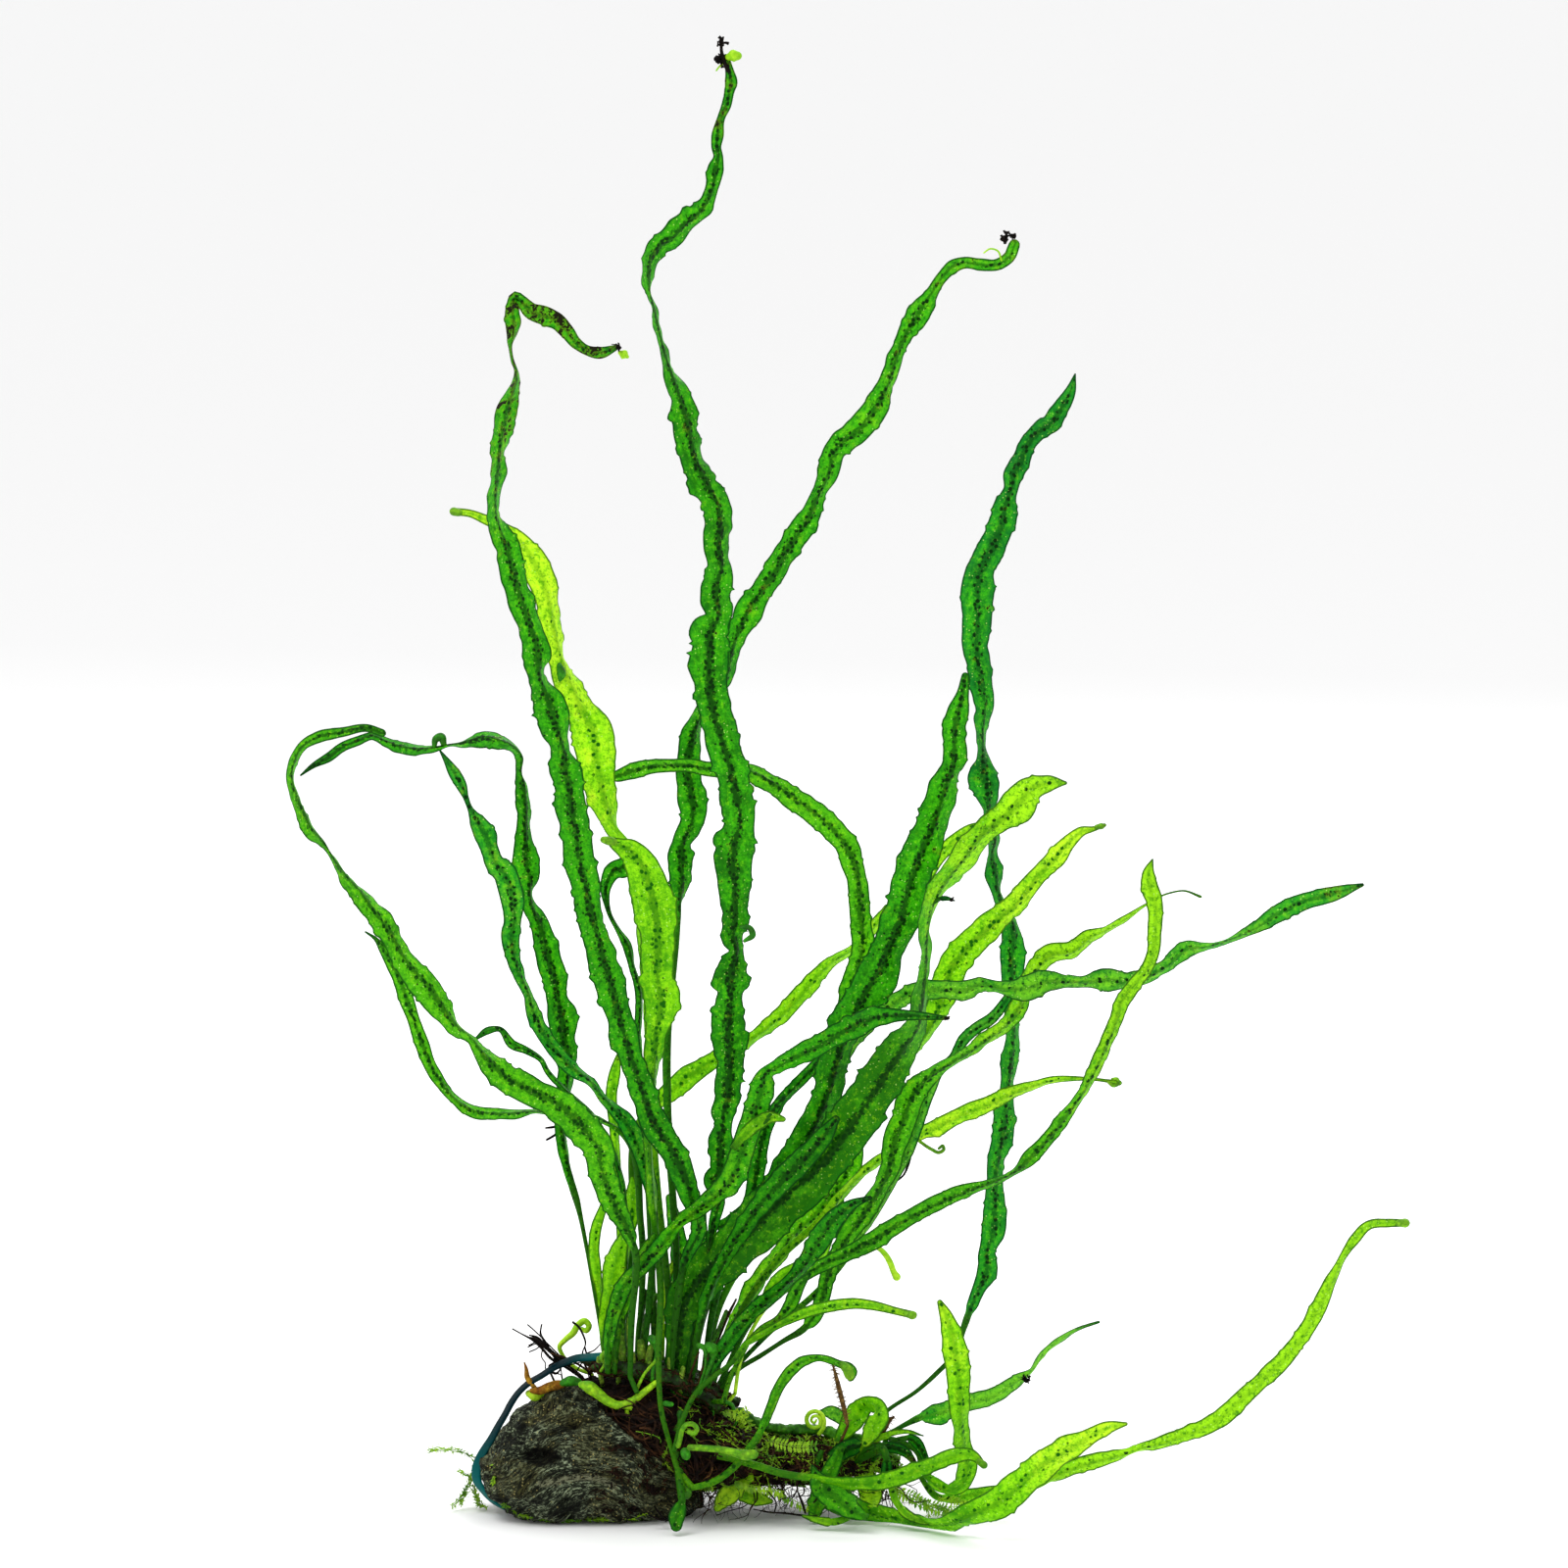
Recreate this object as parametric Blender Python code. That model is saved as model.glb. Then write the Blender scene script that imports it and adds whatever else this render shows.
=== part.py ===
"""Needle leaf java fern growing on a stone.

A dark stone with a flat base carries a mat of roots and several creeping rhizomes. Long narrow
leaves stand up and arch out from the rhizomes, and a rubber tie holds the first rhizome to the
stone. Every leaf is traced in one picture of the plant: its route is a list of
(column, row, half width) points in picture pixels, from the tip to the foot. A depth is added
to each point, so that the leaves also fan out towards the front and the back.
"""

import math

import bmesh
import bpy
import numpy as np
from mathutils import Vector, noise
from mathutils.bvhtree import BVHTree

# Driving dimensions, in metres.
PLANT_HEIGHT = 0.227
STONE_DEPTH = 0.029
BLADE_THICKNESS = 0.0006
STALK_THICKNESS = 0.0005
TIE_WIDTH = 0.0020
TIE_THICKNESS = 0.0005
GAP = 0.0003
FOOT_STEP = 0.0006

# The picture that the routes are read in, in its own pixels.
PICTURE_CENTRE = 800
TOP_ROW = 38
GROUND_ROW = 1543
BASE_COLUMN = 598
CROWN = (700, 1400)

# The sight line: a distant eye, slightly above the plant.
SIGHT_DISTANCE = 1.3
SIGHT_TILT = math.radians(6)
PIXEL = PLANT_HEIGHT * math.cos(SIGHT_TILT) / (GROUND_ROW - TOP_ROW)

# How leaves fan out in depth: each leaf keeps to a lane, and lanes part with distance.
LANE_AT_CROWN = 0.0005
LANE_SPREAD = 0.015
STEEPEST_TURN = math.radians(72)

# How finely the solids follow their curves.
RING_EVERY = 0.0098
RING_BEND = math.radians(38)
FINE_STEPS = 12
LUMPS_SEED = 7

OLD_GREEN = (0.045, 0.20, 0.012)
MID_GREEN = (0.10, 0.34, 0.015)
YOUNG_GREEN = (0.35, 0.66, 0.03)
TEAL_GREEN = (0.03, 0.24, 0.07)
MOSS_GREEN = (0.10, 0.22, 0.02)
ROOT_BROWN = (0.08, 0.03, 0.012)

# Leaves: lane (negative is nearer the eye), half width of the flat blade in pixels, colour,
# and the route from tip to foot.
LEAVES = {
    "leaf_tall_centre": (-7.5, 17, OLD_GREEN, [
        (741, 58, 3), (744, 95, 5), (734, 130, 4), (733, 165, 6), (722, 205, 7), (700, 228, 9),
        (665, 262, 9), (662, 290, 4), (669, 322, 5), (678, 358, 5), (697, 410, 10), (714, 480, 13),
        (734, 540, 13), (733, 615, 14), (724, 665, 20), (727, 720, 17), (745, 790, 17),
        (755, 845, 17), (748, 890, 19), (750, 940, 14), (752, 968, 5), (746, 1000, 18),
        (743, 1050, 17), (744, 1090, 15), (738, 1140, 13), (735, 1180, 12), (729, 1210, 8),
        (728, 1250, 6), (715, 1320, 4), (704, 1370, 4), (700, 1415, 3)]),
    "leaf_tall_right": (3, 13, OLD_GREEN, [
        (1035, 250, 5), (1015, 270, 6), (972, 272, 7), (950, 300, 8), (936, 320, 12),
        (917, 358, 7), (903, 400, 9), (880, 435, 13), (845, 485, 9), (824, 530, 12),
        (790, 585, 12), (766, 620, 13), (748, 660, 8), (728, 700, 6), (706, 760, 12),
        (704, 810, 15), (697, 860, 12), (696, 905, 8), (691, 950, 5), (682, 1060, 5),
        (684, 1180, 5), (690, 1280, 4), (686, 1400, 3)]),
    "leaf_tall_left": (-12, 16, OLD_GREEN, [
        (630, 356, 3), (600, 357, 5), (568, 328, 8), (536, 311, 7), (525, 304, 4), (524, 330, 7),
        (524, 366, 3), (525, 395, 7), (515, 430, 10), (507, 490, 7), (507, 530, 7),
        (521, 575, 12), (538, 630, 13), (550, 672, 14), (556, 705, 11), (568, 740, 14),
        (579, 795, 16), (590, 870, 17), (604, 935, 14), (622, 1000, 14), (646, 1085, 13),
        (668, 1148, 14), (687, 1175, 13), (704, 1220, 11), (700, 1275, 6), (690, 1340, 4),
        (684, 1410, 3)]),
    "leaf_bright_back": (-4, 18, YOUNG_GREEN, [
        (464, 523, 4), (495, 530, 5), (530, 552, 9), (556, 600, 14), (570, 655, 10),
        (583, 700, 13), (606, 755, 20), (616, 815, 13), (630, 848, 7), (648, 890, 5),
        (660, 980, 5), (664, 1100, 5), (672, 1220, 5), (682, 1320, 4), (686, 1410, 3)]),
    "leaf_bright_front": (-9.9, 13, YOUNG_GREEN, [
        (620, 857, 3), (640, 866, 11), (659, 892, 19), (671, 950, 19), (673, 1020, 19),
        (669, 1065, 11), (667, 1110, 6), (664, 1160, 4), (668, 1240, 4), (674, 1320, 4),
        (672, 1385, 3.5), (675, 1440, 3), (687, 1485, 3), (697, 1520, 4)]),
    "leaf_arched_centre": (-1, 12, MID_GREEN, [
        (630, 792, 6), (680, 781, 7), (735, 785, 8), (785, 797, 9), (830, 829, 12),
        (866, 868, 12), (879, 930, 11), (876, 990, 12), (862, 1050, 10), (850, 1110, 10),
        (830, 1168, 14), (800, 1210, 12), (760, 1262, 9), (726, 1325, 5), (704, 1415, 3)]),
    "leaf_far_right": (9, 14, TEAL_GREEN, [
        (1097, 382, 2), (1082, 418, 9), (1050, 452, 9), (1033, 495, 9), (1018, 548, 14),
        (998, 600, 17), (996, 650, 14), (1003, 705, 12), (1003, 752, 6), (1005, 805, 15),
        (1010, 838, 5), (1015, 865, 6), (1016, 890, 9), (1022, 920, 6), (1033, 965, 12),
        (1034, 1064, 8), (1026, 1140, 10), (1016, 1205, 9), (1014, 1258, 12), (1006, 1292, 10),
        (991, 1334, 6), (974, 1376, 3), (936, 1419, 2.5), (906, 1439, 2.5), (882, 1462, 2.5)]),
    "leaf_broad_yellow_tip": (-9, 24, MID_GREEN, [
        (1087, 799, 2), (1055, 803, 11), (1038, 822, 17), (1005, 850, 12), (965, 900, 12),
        (950, 930, 7), (945, 985, 6), (941, 1030, 8), (922, 1070, 15), (885, 1125, 23),
        (830, 1195, 26), (775, 1247, 26), (716, 1303, 22), (694, 1345, 17), (690, 1400, 10),
        (692, 1430, 5)]),
    "leaf_yellow_diagonal": (2, 14, YOUNG_GREEN, [
        (1127, 842, 2), (1105, 848, 5), (1075, 878, 10), (1035, 925, 12), (984, 971, 15),
        (966, 1005, 15), (945, 1055, 10), (900, 1105, 10), (850, 1170, 9), (795, 1235, 7),
        (745, 1310, 5), (718, 1412, 3)]),
    "leaf_broad_centre": (-6, 19, OLD_GREEN, [
        (985, 690, 4), (975, 745, 11), (970, 790, 12), (953, 842, 16), (930, 895, 20),
        (908, 965, 18), (885, 1010, 20), (860, 1065, 16), (835, 1140, 15), (800, 1200, 13),
        (745, 1270, 8), (708, 1360, 5), (698, 1418, 3)]),
    "leaf_long_yellow_back": (8, 10, YOUNG_GREEN, [
        (1003, 840, 2), (970, 862, 7), (945, 900, 5), (908, 930, 6), (880, 962, 5),
        (850, 981, 5), (815, 1018, 9), (765, 1062, 7), (720, 1087, 10), (680, 1118, 9),
        (655, 1142, 5), (645, 1240, 4), (640, 1400, 3)]),
    "leaf_left_loop": (-16.4, 15, MID_GREEN, [
        (390, 748, 4), (350, 747, 5), (308, 762, 5), (298, 795, 5), (318, 845, 6), (333, 864, 3),
        (368, 910, 7), (400, 955, 11), (440, 1010, 13), (462, 1043, 8), (482, 1060, 3),
        (502, 1085, 12), (550, 1118, 15), (597, 1154, 18), (613, 1190, 15), (640, 1255, 8),
        (649, 1300, 4), (643, 1405, 3)]),
    "leaf_left_bridge": (7, 12, OLD_GREEN, [
        (307, 791, 2), (335, 773, 5), (375, 752, 4), (410, 762, 7), (455, 760, 3), (490, 753, 8),
        (525, 762, 5), (533, 784, 4), (537, 830, 6), (537, 880, 13), (541, 912, 5),
        (555, 958, 12), (567, 1000, 13), (575, 1057, 13), (578, 1100, 8), (574, 1150, 5),
        (586, 1215, 4), (606, 1312, 3), (620, 1400, 3)]),
    "leaf_left_inner": (-6.9, 10, OLD_GREEN, [
        (449, 766, 1), (466, 795, 6), (478, 820, 3), (495, 852, 10), (515, 892, 11),
        (524, 935, 9), (524, 970, 8), (535, 1005, 6), (553, 1051, 8), (590, 1093, 7),
        (628, 1133, 7), (652, 1172, 9), (666, 1225, 5), (664, 1310, 4), (656, 1400, 3)]),
    "leaf_far_left_low": (1, 8, MID_GREEN, [
        (373, 951, 2), (395, 976, 5), (416, 1025, 8), (434, 1075, 8), (455, 1112, 5),
        (485, 1134, 7), (544, 1134, 4), (599, 1137, 3), (634, 1155, 4), (654, 1250, 4),
        (650, 1400, 3)]),
    "leaf_left_small": (3.5, 5, OLD_GREEN, [
        (487, 1059, 2), (509, 1050, 3), (530, 1069, 5), (553, 1081, 3), (575, 1110, 3),
        (605, 1138, 3), (634, 1200, 3), (638, 1290, 3), (630, 1400, 3)]),
    "leaf_folded_centre": (-14, 12, OLD_GREEN, [
        (967, 1039, 2), (920, 1036, 6), (880, 1044, 11), (830, 1070, 10), (790, 1090, 7),
        (779, 1102, 10), (772, 1130, 13), (757, 1175, 12), (738, 1215, 11), (700, 1243, 7),
        (672, 1275, 8), (638, 1310, 9), (622, 1360, 7), (620, 1400, 3)]),
    "leaf_narrow_dark": (6, 8, OLD_GREEN, [
        (860, 1060, 3), (833, 1086, 6), (795, 1127, 6), (778, 1165, 8), (770, 1205, 8),
        (757, 1240, 6), (730, 1258, 5), (714, 1340, 4), (708, 1415, 3)]),
    "leaf_teal_right": (-2.9, 11, TEAL_GREEN, [
        (1390, 903, 2), (1330, 920, 9), (1285, 945, 7), (1233, 966, 4), (1205, 975, 9),
        (1155, 1002, 8), (1107, 1002, 7), (1045, 1009, 13), (1000, 1005, 8), (950, 1012, 10),
        (905, 1030, 9), (865, 1075, 8), (835, 1145, 8), (780, 1228, 7), (735, 1310, 5),
        (716, 1412, 3)]),
    "leaf_long_stalked_right": (-11, 9, MID_GREEN, [
        (1176, 877, 1), (1173, 900, 9), (1178, 940, 8), (1172, 985, 6), (1146, 1019, 8),
        (1129, 1067, 6), (1104, 1117, 5), (1087, 1140, 7), (1051, 1182, 8), (1017, 1205, 4),
        (953, 1230, 8), (892, 1265, 10), (833, 1294, 7), (775, 1336, 6), (740, 1370, 4),
        (722, 1415, 3)]),
    "leaf_spotted_right": (0, 12, MID_GREEN, [
        (1225, 915, 1.5), (1194, 911, 1), (1149, 938, 3), (1113, 957, 6), (1073, 975, 11),
        (1045, 1015, 8), (1012, 1058, 7), (965, 1086, 6), (932, 1117, 12), (913, 1165, 13),
        (898, 1213, 9), (872, 1252, 10), (848, 1295, 8), (836, 1335, 8), (800, 1368, 3),
        (755, 1396, 3), (730, 1422, 3)]),
    "leaf_slender_right": (3, 6, TEAL_GREEN, [
        (1028, 1019, 5), (1003, 1046, 6), (972, 1081, 5), (951, 1108, 6), (935, 1152, 6),
        (913, 1203, 5), (880, 1260, 4), (840, 1312, 4), (785, 1360, 3), (735, 1412, 3)]),
    "leaf_yellow_low_right": (6, 9, YOUNG_GREEN, [
        (1142, 1105, 3), (1113, 1101, 2), (1054, 1109, 5), (992, 1134, 9), (955, 1151, 10),
        (925, 1167, 5), (890, 1188, 6), (835, 1248, 5), (795, 1285, 5), (750, 1350, 4),
        (724, 1415, 3)]),
    "leaf_low_far_right": (-6, 9, MID_GREEN, [
        (1434, 1248, 4), (1397, 1250, 5), (1371, 1282, 4), (1348, 1330, 8), (1313, 1384, 9),
        (1237, 1453, 9), (1183, 1474, 6), (1114, 1493, 7), (1060, 1515, 5), (1010, 1523, 7),
        (965, 1529, 5), (940, 1508, 3), (928, 1484, 3), (912, 1474, 3)]),
    "leaf_broad_on_ground": (-20, 15, YOUNG_GREEN, [
        (1148, 1453, 4), (1114, 1465, 9), (1064, 1495, 15), (1019, 1533, 16), (973, 1554, 9),
        (929, 1554, 8), (884, 1543, 10), (846, 1523, 15), (831, 1502, 6), (838, 1482, 3)]),
    "leaf_upright_low_right": (-8, 12, YOUNG_GREEN, [
        (959, 1329, 3), (971, 1361, 11), (978, 1407, 12), (981, 1453, 9), (987, 1498, 10),
        (972, 1521, 7), (945, 1508, 5), (938, 1484, 4), (905, 1467, 3)]),
    "leaf_pale_low": (-13, 8, YOUNG_GREEN, [
        (1005, 1494, 3), (990, 1485, 7), (954, 1493, 8), (873, 1514, 7), (822, 1507, 5),
        (750, 1489, 4), (705, 1482, 3)]),
    "leaf_bluegreen_low": (3, 10, TEAL_GREEN, [
        (1121, 1349, 1.5), (1084, 1366, 2.5), (1050, 1400, 3), (1019, 1422, 9), (954, 1443, 10),
        (923, 1454, 3), (892, 1466, 3)]),
    "leaf_arched_low": (-20, 6, MID_GREEN, [
        (868, 1404, 5), (860, 1394, 4), (833, 1386, 5), (806, 1400, 6), (786, 1438, 4),
        (762, 1481, 3), (724, 1512, 3), (706, 1517, 3)]),
    "leaf_thin_between": (-1, 7, OLD_GREEN, [
        (638, 884, 8), (626, 890, 8), (617, 907, 6), (621, 930, 3), (632, 950, 3), (643, 970, 4),
        (649, 1000, 4), (652, 1060, 4), (658, 1150, 4), (664, 1260, 4), (668, 1400, 3)]),
    "leaf_round_tipped": (-24, 6, YOUNG_GREEN, [
        (932, 1343, 4), (905, 1334, 4), (860, 1331, 6), (810, 1347, 5), (765, 1373, 4),
        (728, 1405, 3), (698, 1445, 3), (688, 1480, 3)]),
    "leaf_short_centre": (-12, 11, OLD_GREEN, [
        (853, 1142, 4), (840, 1160, 10), (815, 1188, 12), (775, 1230, 11), (740, 1285, 8),
        (715, 1350, 5), (705, 1415, 3)]),
    "leaf_spotted_inner": (9, 12, MID_GREEN, [
        (878, 1158, 3), (870, 1185, 10), (855, 1212, 13), (830, 1242, 11), (805, 1266, 9),
        (780, 1300, 8), (745, 1355, 5), (728, 1412, 3)]),
    "leaf_dark_inner": (-18, 10, TEAL_GREEN, [
        (888, 1222, 2), (866, 1231, 7), (844, 1254, 11), (830, 1276, 10), (806, 1308, 7),
        (758, 1348, 7), (720, 1408, 3)]),
    "leaf_yellow_inner": (12, 7, YOUNG_GREEN, [
        (851, 1247, 4), (845, 1266, 4), (835, 1284, 5), (805, 1298, 7), (787, 1316, 8),
        (768, 1345, 4), (735, 1410, 3)]),
    "leaf_small_inner": (-21, 6, MID_GREEN, [
        (826, 1300, 2), (813, 1317, 7), (803, 1338, 6), (778, 1356, 3), (748, 1400, 3),
        (738, 1430, 3)]),
    "leaf_young_left": (4.5, 6, YOUNG_GREEN, [
        (617, 1228, 4), (608, 1258, 6), (607, 1290, 6), (612, 1330, 4), (617, 1375, 3),
        (622, 1405, 3)]),
    "leaf_young_front": (-8, 8, YOUNG_GREEN, [
        (632, 1258, 3), (626, 1280, 8), (621, 1305, 9), (618, 1335, 7), (616, 1362, 5),
        (620, 1400, 3)]),
    "leaf_young_middle": (6, 6, YOUNG_GREEN, [
        (645, 1203, 2), (645, 1222, 7), (644, 1243, 7), (640, 1275, 6), (637, 1300, 4),
        (636, 1400, 3)]),
    "leaf_young_back": (10, 6, YOUNG_GREEN, [
        (631, 1078, 3), (626, 1105, 7), (627, 1150, 5), (632, 1220, 4), (634, 1300, 4),
        (632, 1400, 3)]),
    "leaf_folded_over": (-10, 10, YOUNG_GREEN, [
        (893, 1427, 8), (880, 1437, 10), (866, 1455, 9), (856, 1470, 5)]),
    "leaf_drooping_bright": (-17, 10, YOUNG_GREEN, [
        (890, 1531, 3), (885, 1520, 10), (878, 1503, 10), (873, 1484, 8), (872, 1474, 4)]),
    "leaf_teal_small": (5, 6, TEAL_GREEN, [
        (839, 1443, 2), (848, 1442, 6), (858, 1450, 6), (866, 1462, 3)]),
    "leaf_hanging_front": (-23, 8, MID_GREEN, [
        (691, 1556, 5), (691, 1549, 8), (694, 1539, 6), (696, 1531, 4)]),
}

# Leaves whose foot is not in their lane: how far the foot lies from it in metres, and the
# length of leaf over which it comes back.
FOOT_OFFSETS = {
    "leaf_bright_front": (-0.0090, 0.036),
    "leaf_far_right": (-0.0070, 0.030),
    "leaf_low_far_right": (0.0062, 0.030),
    "leaf_broad_on_ground": (0.0092, 0.034),
    "leaf_upright_low_right": (0.0070, 0.030),
    "leaf_pale_low": (-0.0045, 0.050),
    "leaf_arched_low": (-0.0016, 0.020),
    "leaf_bluegreen_low": (-0.0020, 0.020),
    "leaf_folded_over": (0.0070, 0.010),
    "leaf_drooping_bright": (0.0130, 0.012),
}

# Round stems from tip to foot: depth, colour, and the route with half thicknesses. They are
# fronds just opening, shoots of moss, and stiff roots that stick out.
STEMS = {
    "frond_finger_front": (-0.0182, YOUNG_GREEN, [
        (769, 1484, 5), (750, 1484, 4), (722, 1479, 4), (706, 1478, 3)]),
    "frond_finger_right": (-0.0045, YOUNG_GREEN, [
        (915, 1303, 4), (910, 1291, 3.5), (902, 1279, 3), (888, 1272, 2.5), (863, 1280, 2), (833, 1294, 2),
        (804, 1312, 2), (782, 1334, 2), (765, 1362, 2), (754, 1395, 2), (750, 1422, 2)]),
    "moss_left": (0.0015, MOSS_GREEN, [
        (435, 1480, 3), (460, 1482, 4), (479, 1489, 5), (484, 1508, 5), (480, 1526, 7),
        (482, 1538, 6), (492, 1538, 4)]),
    "moss_right": (-0.0060, MOSS_GREEN, [
        (990, 1538, 5), (970, 1540, 7), (945, 1538, 5), (925, 1526, 5), (906, 1508, 4)]),
    "root_tuft_left": (0.0012, ROOT_BROWN, [
        (523, 1356, 2), (540, 1364, 5), (555, 1374, 7), (566, 1387, 7), (579, 1398, 5),
        (588, 1406, 4)]),
}

# Rolled tips: depth, centre of the roll, its radius, and the stalk that leads away from it.
CROZIERS = {
    "crozier_stone": (-0.0172, (705, 1458), 6, [(697, 1449), (692, 1462)]),
    "crozier_pale_left": (0.0040, (596, 1353), 5, [(586, 1361), (573, 1372), (580, 1392), (604, 1402)]),
}

# The stone's sections from left to right: column, top row, bottom row, share of its depth.
STONE_SECTIONS = [
    (492, 1499, 1513, 0.22), (500, 1479, 1524, 0.50), (516, 1462, 1537, 0.72),
    (535, 1443, 1547, 0.88), (554, 1428, 1555, 0.97), (574, 1419, 1558, 1.00),
    (594, 1418, 1559, 1.00), (615, 1423, 1558, 0.97), (636, 1431, 1557, 0.92),
    (658, 1441, 1555, 0.83), (680, 1455, 1550, 0.68), (698, 1473, 1541, 0.46),
    (708, 1492, 1528, 0.20)]

# The root mat's sections: column, top row, bottom row, half depth in metres.
MAT_SECTIONS = [
    (598, 1408, 1430, 0.0045), (622, 1403, 1450, 0.0095), (650, 1404, 1478, 0.0125),
    (680, 1412, 1505, 0.0145), (706, 1424, 1526, 0.0150), (732, 1438, 1526, 0.0138),
    (760, 1456, 1516, 0.0118), (790, 1465, 1514, 0.0100), (822, 1468, 1516, 0.0088),
    (856, 1472, 1512, 0.0070), (890, 1480, 1504, 0.0045), (918, 1488, 1499, 0.0020)]

# Rhizomes: depth, colour, and the route of the centre line with its half thickness.
RHIZOMES = {
    "rhizome_main": (0.0000, OLD_GREEN, [
        (604, 1390, 8), (640, 1390, 10), (680, 1398, 10), (715, 1414, 10), (742, 1430, 7)]),
    "rhizome_near": (-0.0065, OLD_GREEN, [
        (612, 1396, 6), (645, 1397, 9), (685, 1406, 10), (718, 1424, 9), (738, 1440, 6)]),
    "rhizome_back": (0.0065, OLD_GREEN, [
        (616, 1388, 6), (650, 1388, 9), (690, 1398, 10), (725, 1416, 9), (752, 1434, 6)]),
    "rhizome_right": (0.0000, MID_GREEN, [
        (752, 1442, 6), (780, 1456, 6), (820, 1459, 6), (858, 1463, 6), (890, 1472, 5),
        (910, 1479, 4)]),
}

TIE_ROUTE = [
    (612, 1380), (594, 1381), (577, 1388), (556, 1400), (534, 1414), (515, 1436), (503, 1462),
    (490, 1484), (483, 1505), (488, 1520), (498, 1532), (511, 1540)]
TIE_TURNS = [0, 0, 5, 12, 18, 22, 28, 38, 40, 25, 8, 0]
TIE_DEPTH = -0.0030

SHOOT_ROUTE = [(598, 1416, 5), (621, 1430, 5), (646, 1426, 4), (669, 1411, 3)]
FRONT_RHIZOME_ROUTE = [(690, 1470, 4), (691, 1486, 5), (695, 1505, 5), (698, 1524, 5)]


def clear_scene():
    for thing in list(bpy.data.objects):
        bpy.data.objects.remove(thing, do_unlink=True)


def in_space(column, row, depth):
    """The point on the sight line through a picture pixel that lies at the given depth."""
    lean, rise = math.cos(SIGHT_TILT), math.sin(SIGHT_TILT)
    ground = (PICTURE_CENTRE - GROUND_ROW) * PIXEL
    reach = SIGHT_DISTANCE * lean / (SIGHT_DISTANCE * lean + ground * rise)
    eye_height = reach * (SIGHT_DISTANCE * rise - ground * lean)
    eye = Vector(((PICTURE_CENTRE - BASE_COLUMN) * PIXEL, -SIGHT_DISTANCE * lean, eye_height))
    up = (PICTURE_CENTRE - row) * PIXEL
    ray = Vector((
        (column - PICTURE_CENTRE) * PIXEL,
        SIGHT_DISTANCE * lean + up * rise,
        up * lean - SIGHT_DISTANCE * rise))
    return eye + ray * ((depth - eye.y) / ray.y)


def sight_direction(point):
    return (point - in_space(PICTURE_CENTRE, PICTURE_CENTRE, -SIGHT_DISTANCE)).normalized()


def smooth_step(value):
    value = min(max(value, 0.0), 1.0)
    return value * value * (3 - 2 * value)


def smooth_route(points):
    """A smooth curve through the points, FINE_STEPS to each span, as an array of rows."""
    points = np.array(points, float)
    spans = np.linalg.norm(np.diff(points[:, :2], axis=0), axis=1)
    along = np.concatenate([[0], np.cumsum(spans)])
    slopes = np.gradient(points, along, axis=0)
    rows = []
    for i, span in enumerate(spans):
        for t in np.arange(FINE_STEPS) / FINE_STEPS:
            start, end = points[i], points[i + 1]
            a = 2 * t**3 - 3 * t**2 + 1
            b = t**3 - 2 * t**2 + t
            c = 3 * t**2 - 2 * t**3
            d = t**3 - t**2
            rows.append(a * start + c * end + span * (b * slopes[i] + d * slopes[i + 1]))
    rows.append(points[-1])
    return np.array(rows)


def pick_rings(places):
    """Indices along a fine curve: one for each RING_EVERY of length or RING_BEND of bend."""
    steps = np.diff(places, axis=0)
    lengths = np.linalg.norm(steps, axis=1)
    ways = steps / lengths[:, None]
    bends = np.arccos(np.clip((ways[1:] * ways[:-1]).sum(axis=1), -1, 1))
    cost = lengths / RING_EVERY
    cost[1:] += bends / RING_BEND
    along = np.concatenate([[0], np.cumsum(cost)])
    count = max(3, math.ceil(along[-1]))
    picked = np.searchsorted(along, np.linspace(0, along[-1], count + 1))
    return sorted(set(np.clip(picked, 0, len(places) - 1)))


def solid_from_rings(name, rings, colour, roughness=0.45, pointed=True):
    """A closed tube through equal rings of points; a pointed one closes its first end on a point.

    Every second point of a ring starts the diagonals to both sides of it, so that the two faces of a
    thin twisted blade, whose edges are such points, keep their distance.
    """
    mesh = bpy.data.meshes.new(name)
    build = bmesh.new()
    layers = [[build.verts.new(point) for point in ring] for ring in rings]
    size = len(rings[0])
    build.faces.new(layers[-1])
    for near, far in zip(layers, layers[1:]):
        for i in range(0, size, 2):
            for j in ((i - 1) % size, (i + 1) % size):
                build.faces.new((near[i], near[j], far[j]))
                build.faces.new((near[i], far[j], far[i]))
    if pointed:
        first = rings[0]
        beyond = sum(first, Vector()) / size
        point = beyond + (beyond - sum(rings[1], Vector()) / size) * 0.3
        point = build.verts.new((point.x, point.y, max(point.z, GAP)))
        for i in range(size):
            build.faces.new((layers[0][(i + 1) % size], layers[0][i], point))
    else:
        build.faces.new(list(reversed(layers[0])))
    bmesh.ops.recalc_face_normals(build, faces=build.faces)
    build.to_mesh(mesh)
    build.free()
    return add_object(name, mesh, colour, roughness)


def add_object(name, mesh, colour, roughness):
    piece = bpy.data.objects.new(name, mesh)
    bpy.context.scene.collection.objects.link(piece)
    material = bpy.data.materials.new(name)
    material.use_nodes = True
    shader = material.node_tree.nodes["Principled BSDF"]
    shader.inputs["Base Color"].default_value = (*colour, 1)
    shader.inputs["Roughness"].default_value = roughness
    shader.inputs["Metallic"].default_value = 0
    material.diffuse_color = (*colour, 1)
    mesh.materials.append(material)
    return piece


def lane_depth(lane, column, row):
    distance = math.hypot(column - CROWN[0], row - CROWN[1]) * PIXEL
    return lane * (LANE_AT_CROWN + LANE_SPREAD * distance)


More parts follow.
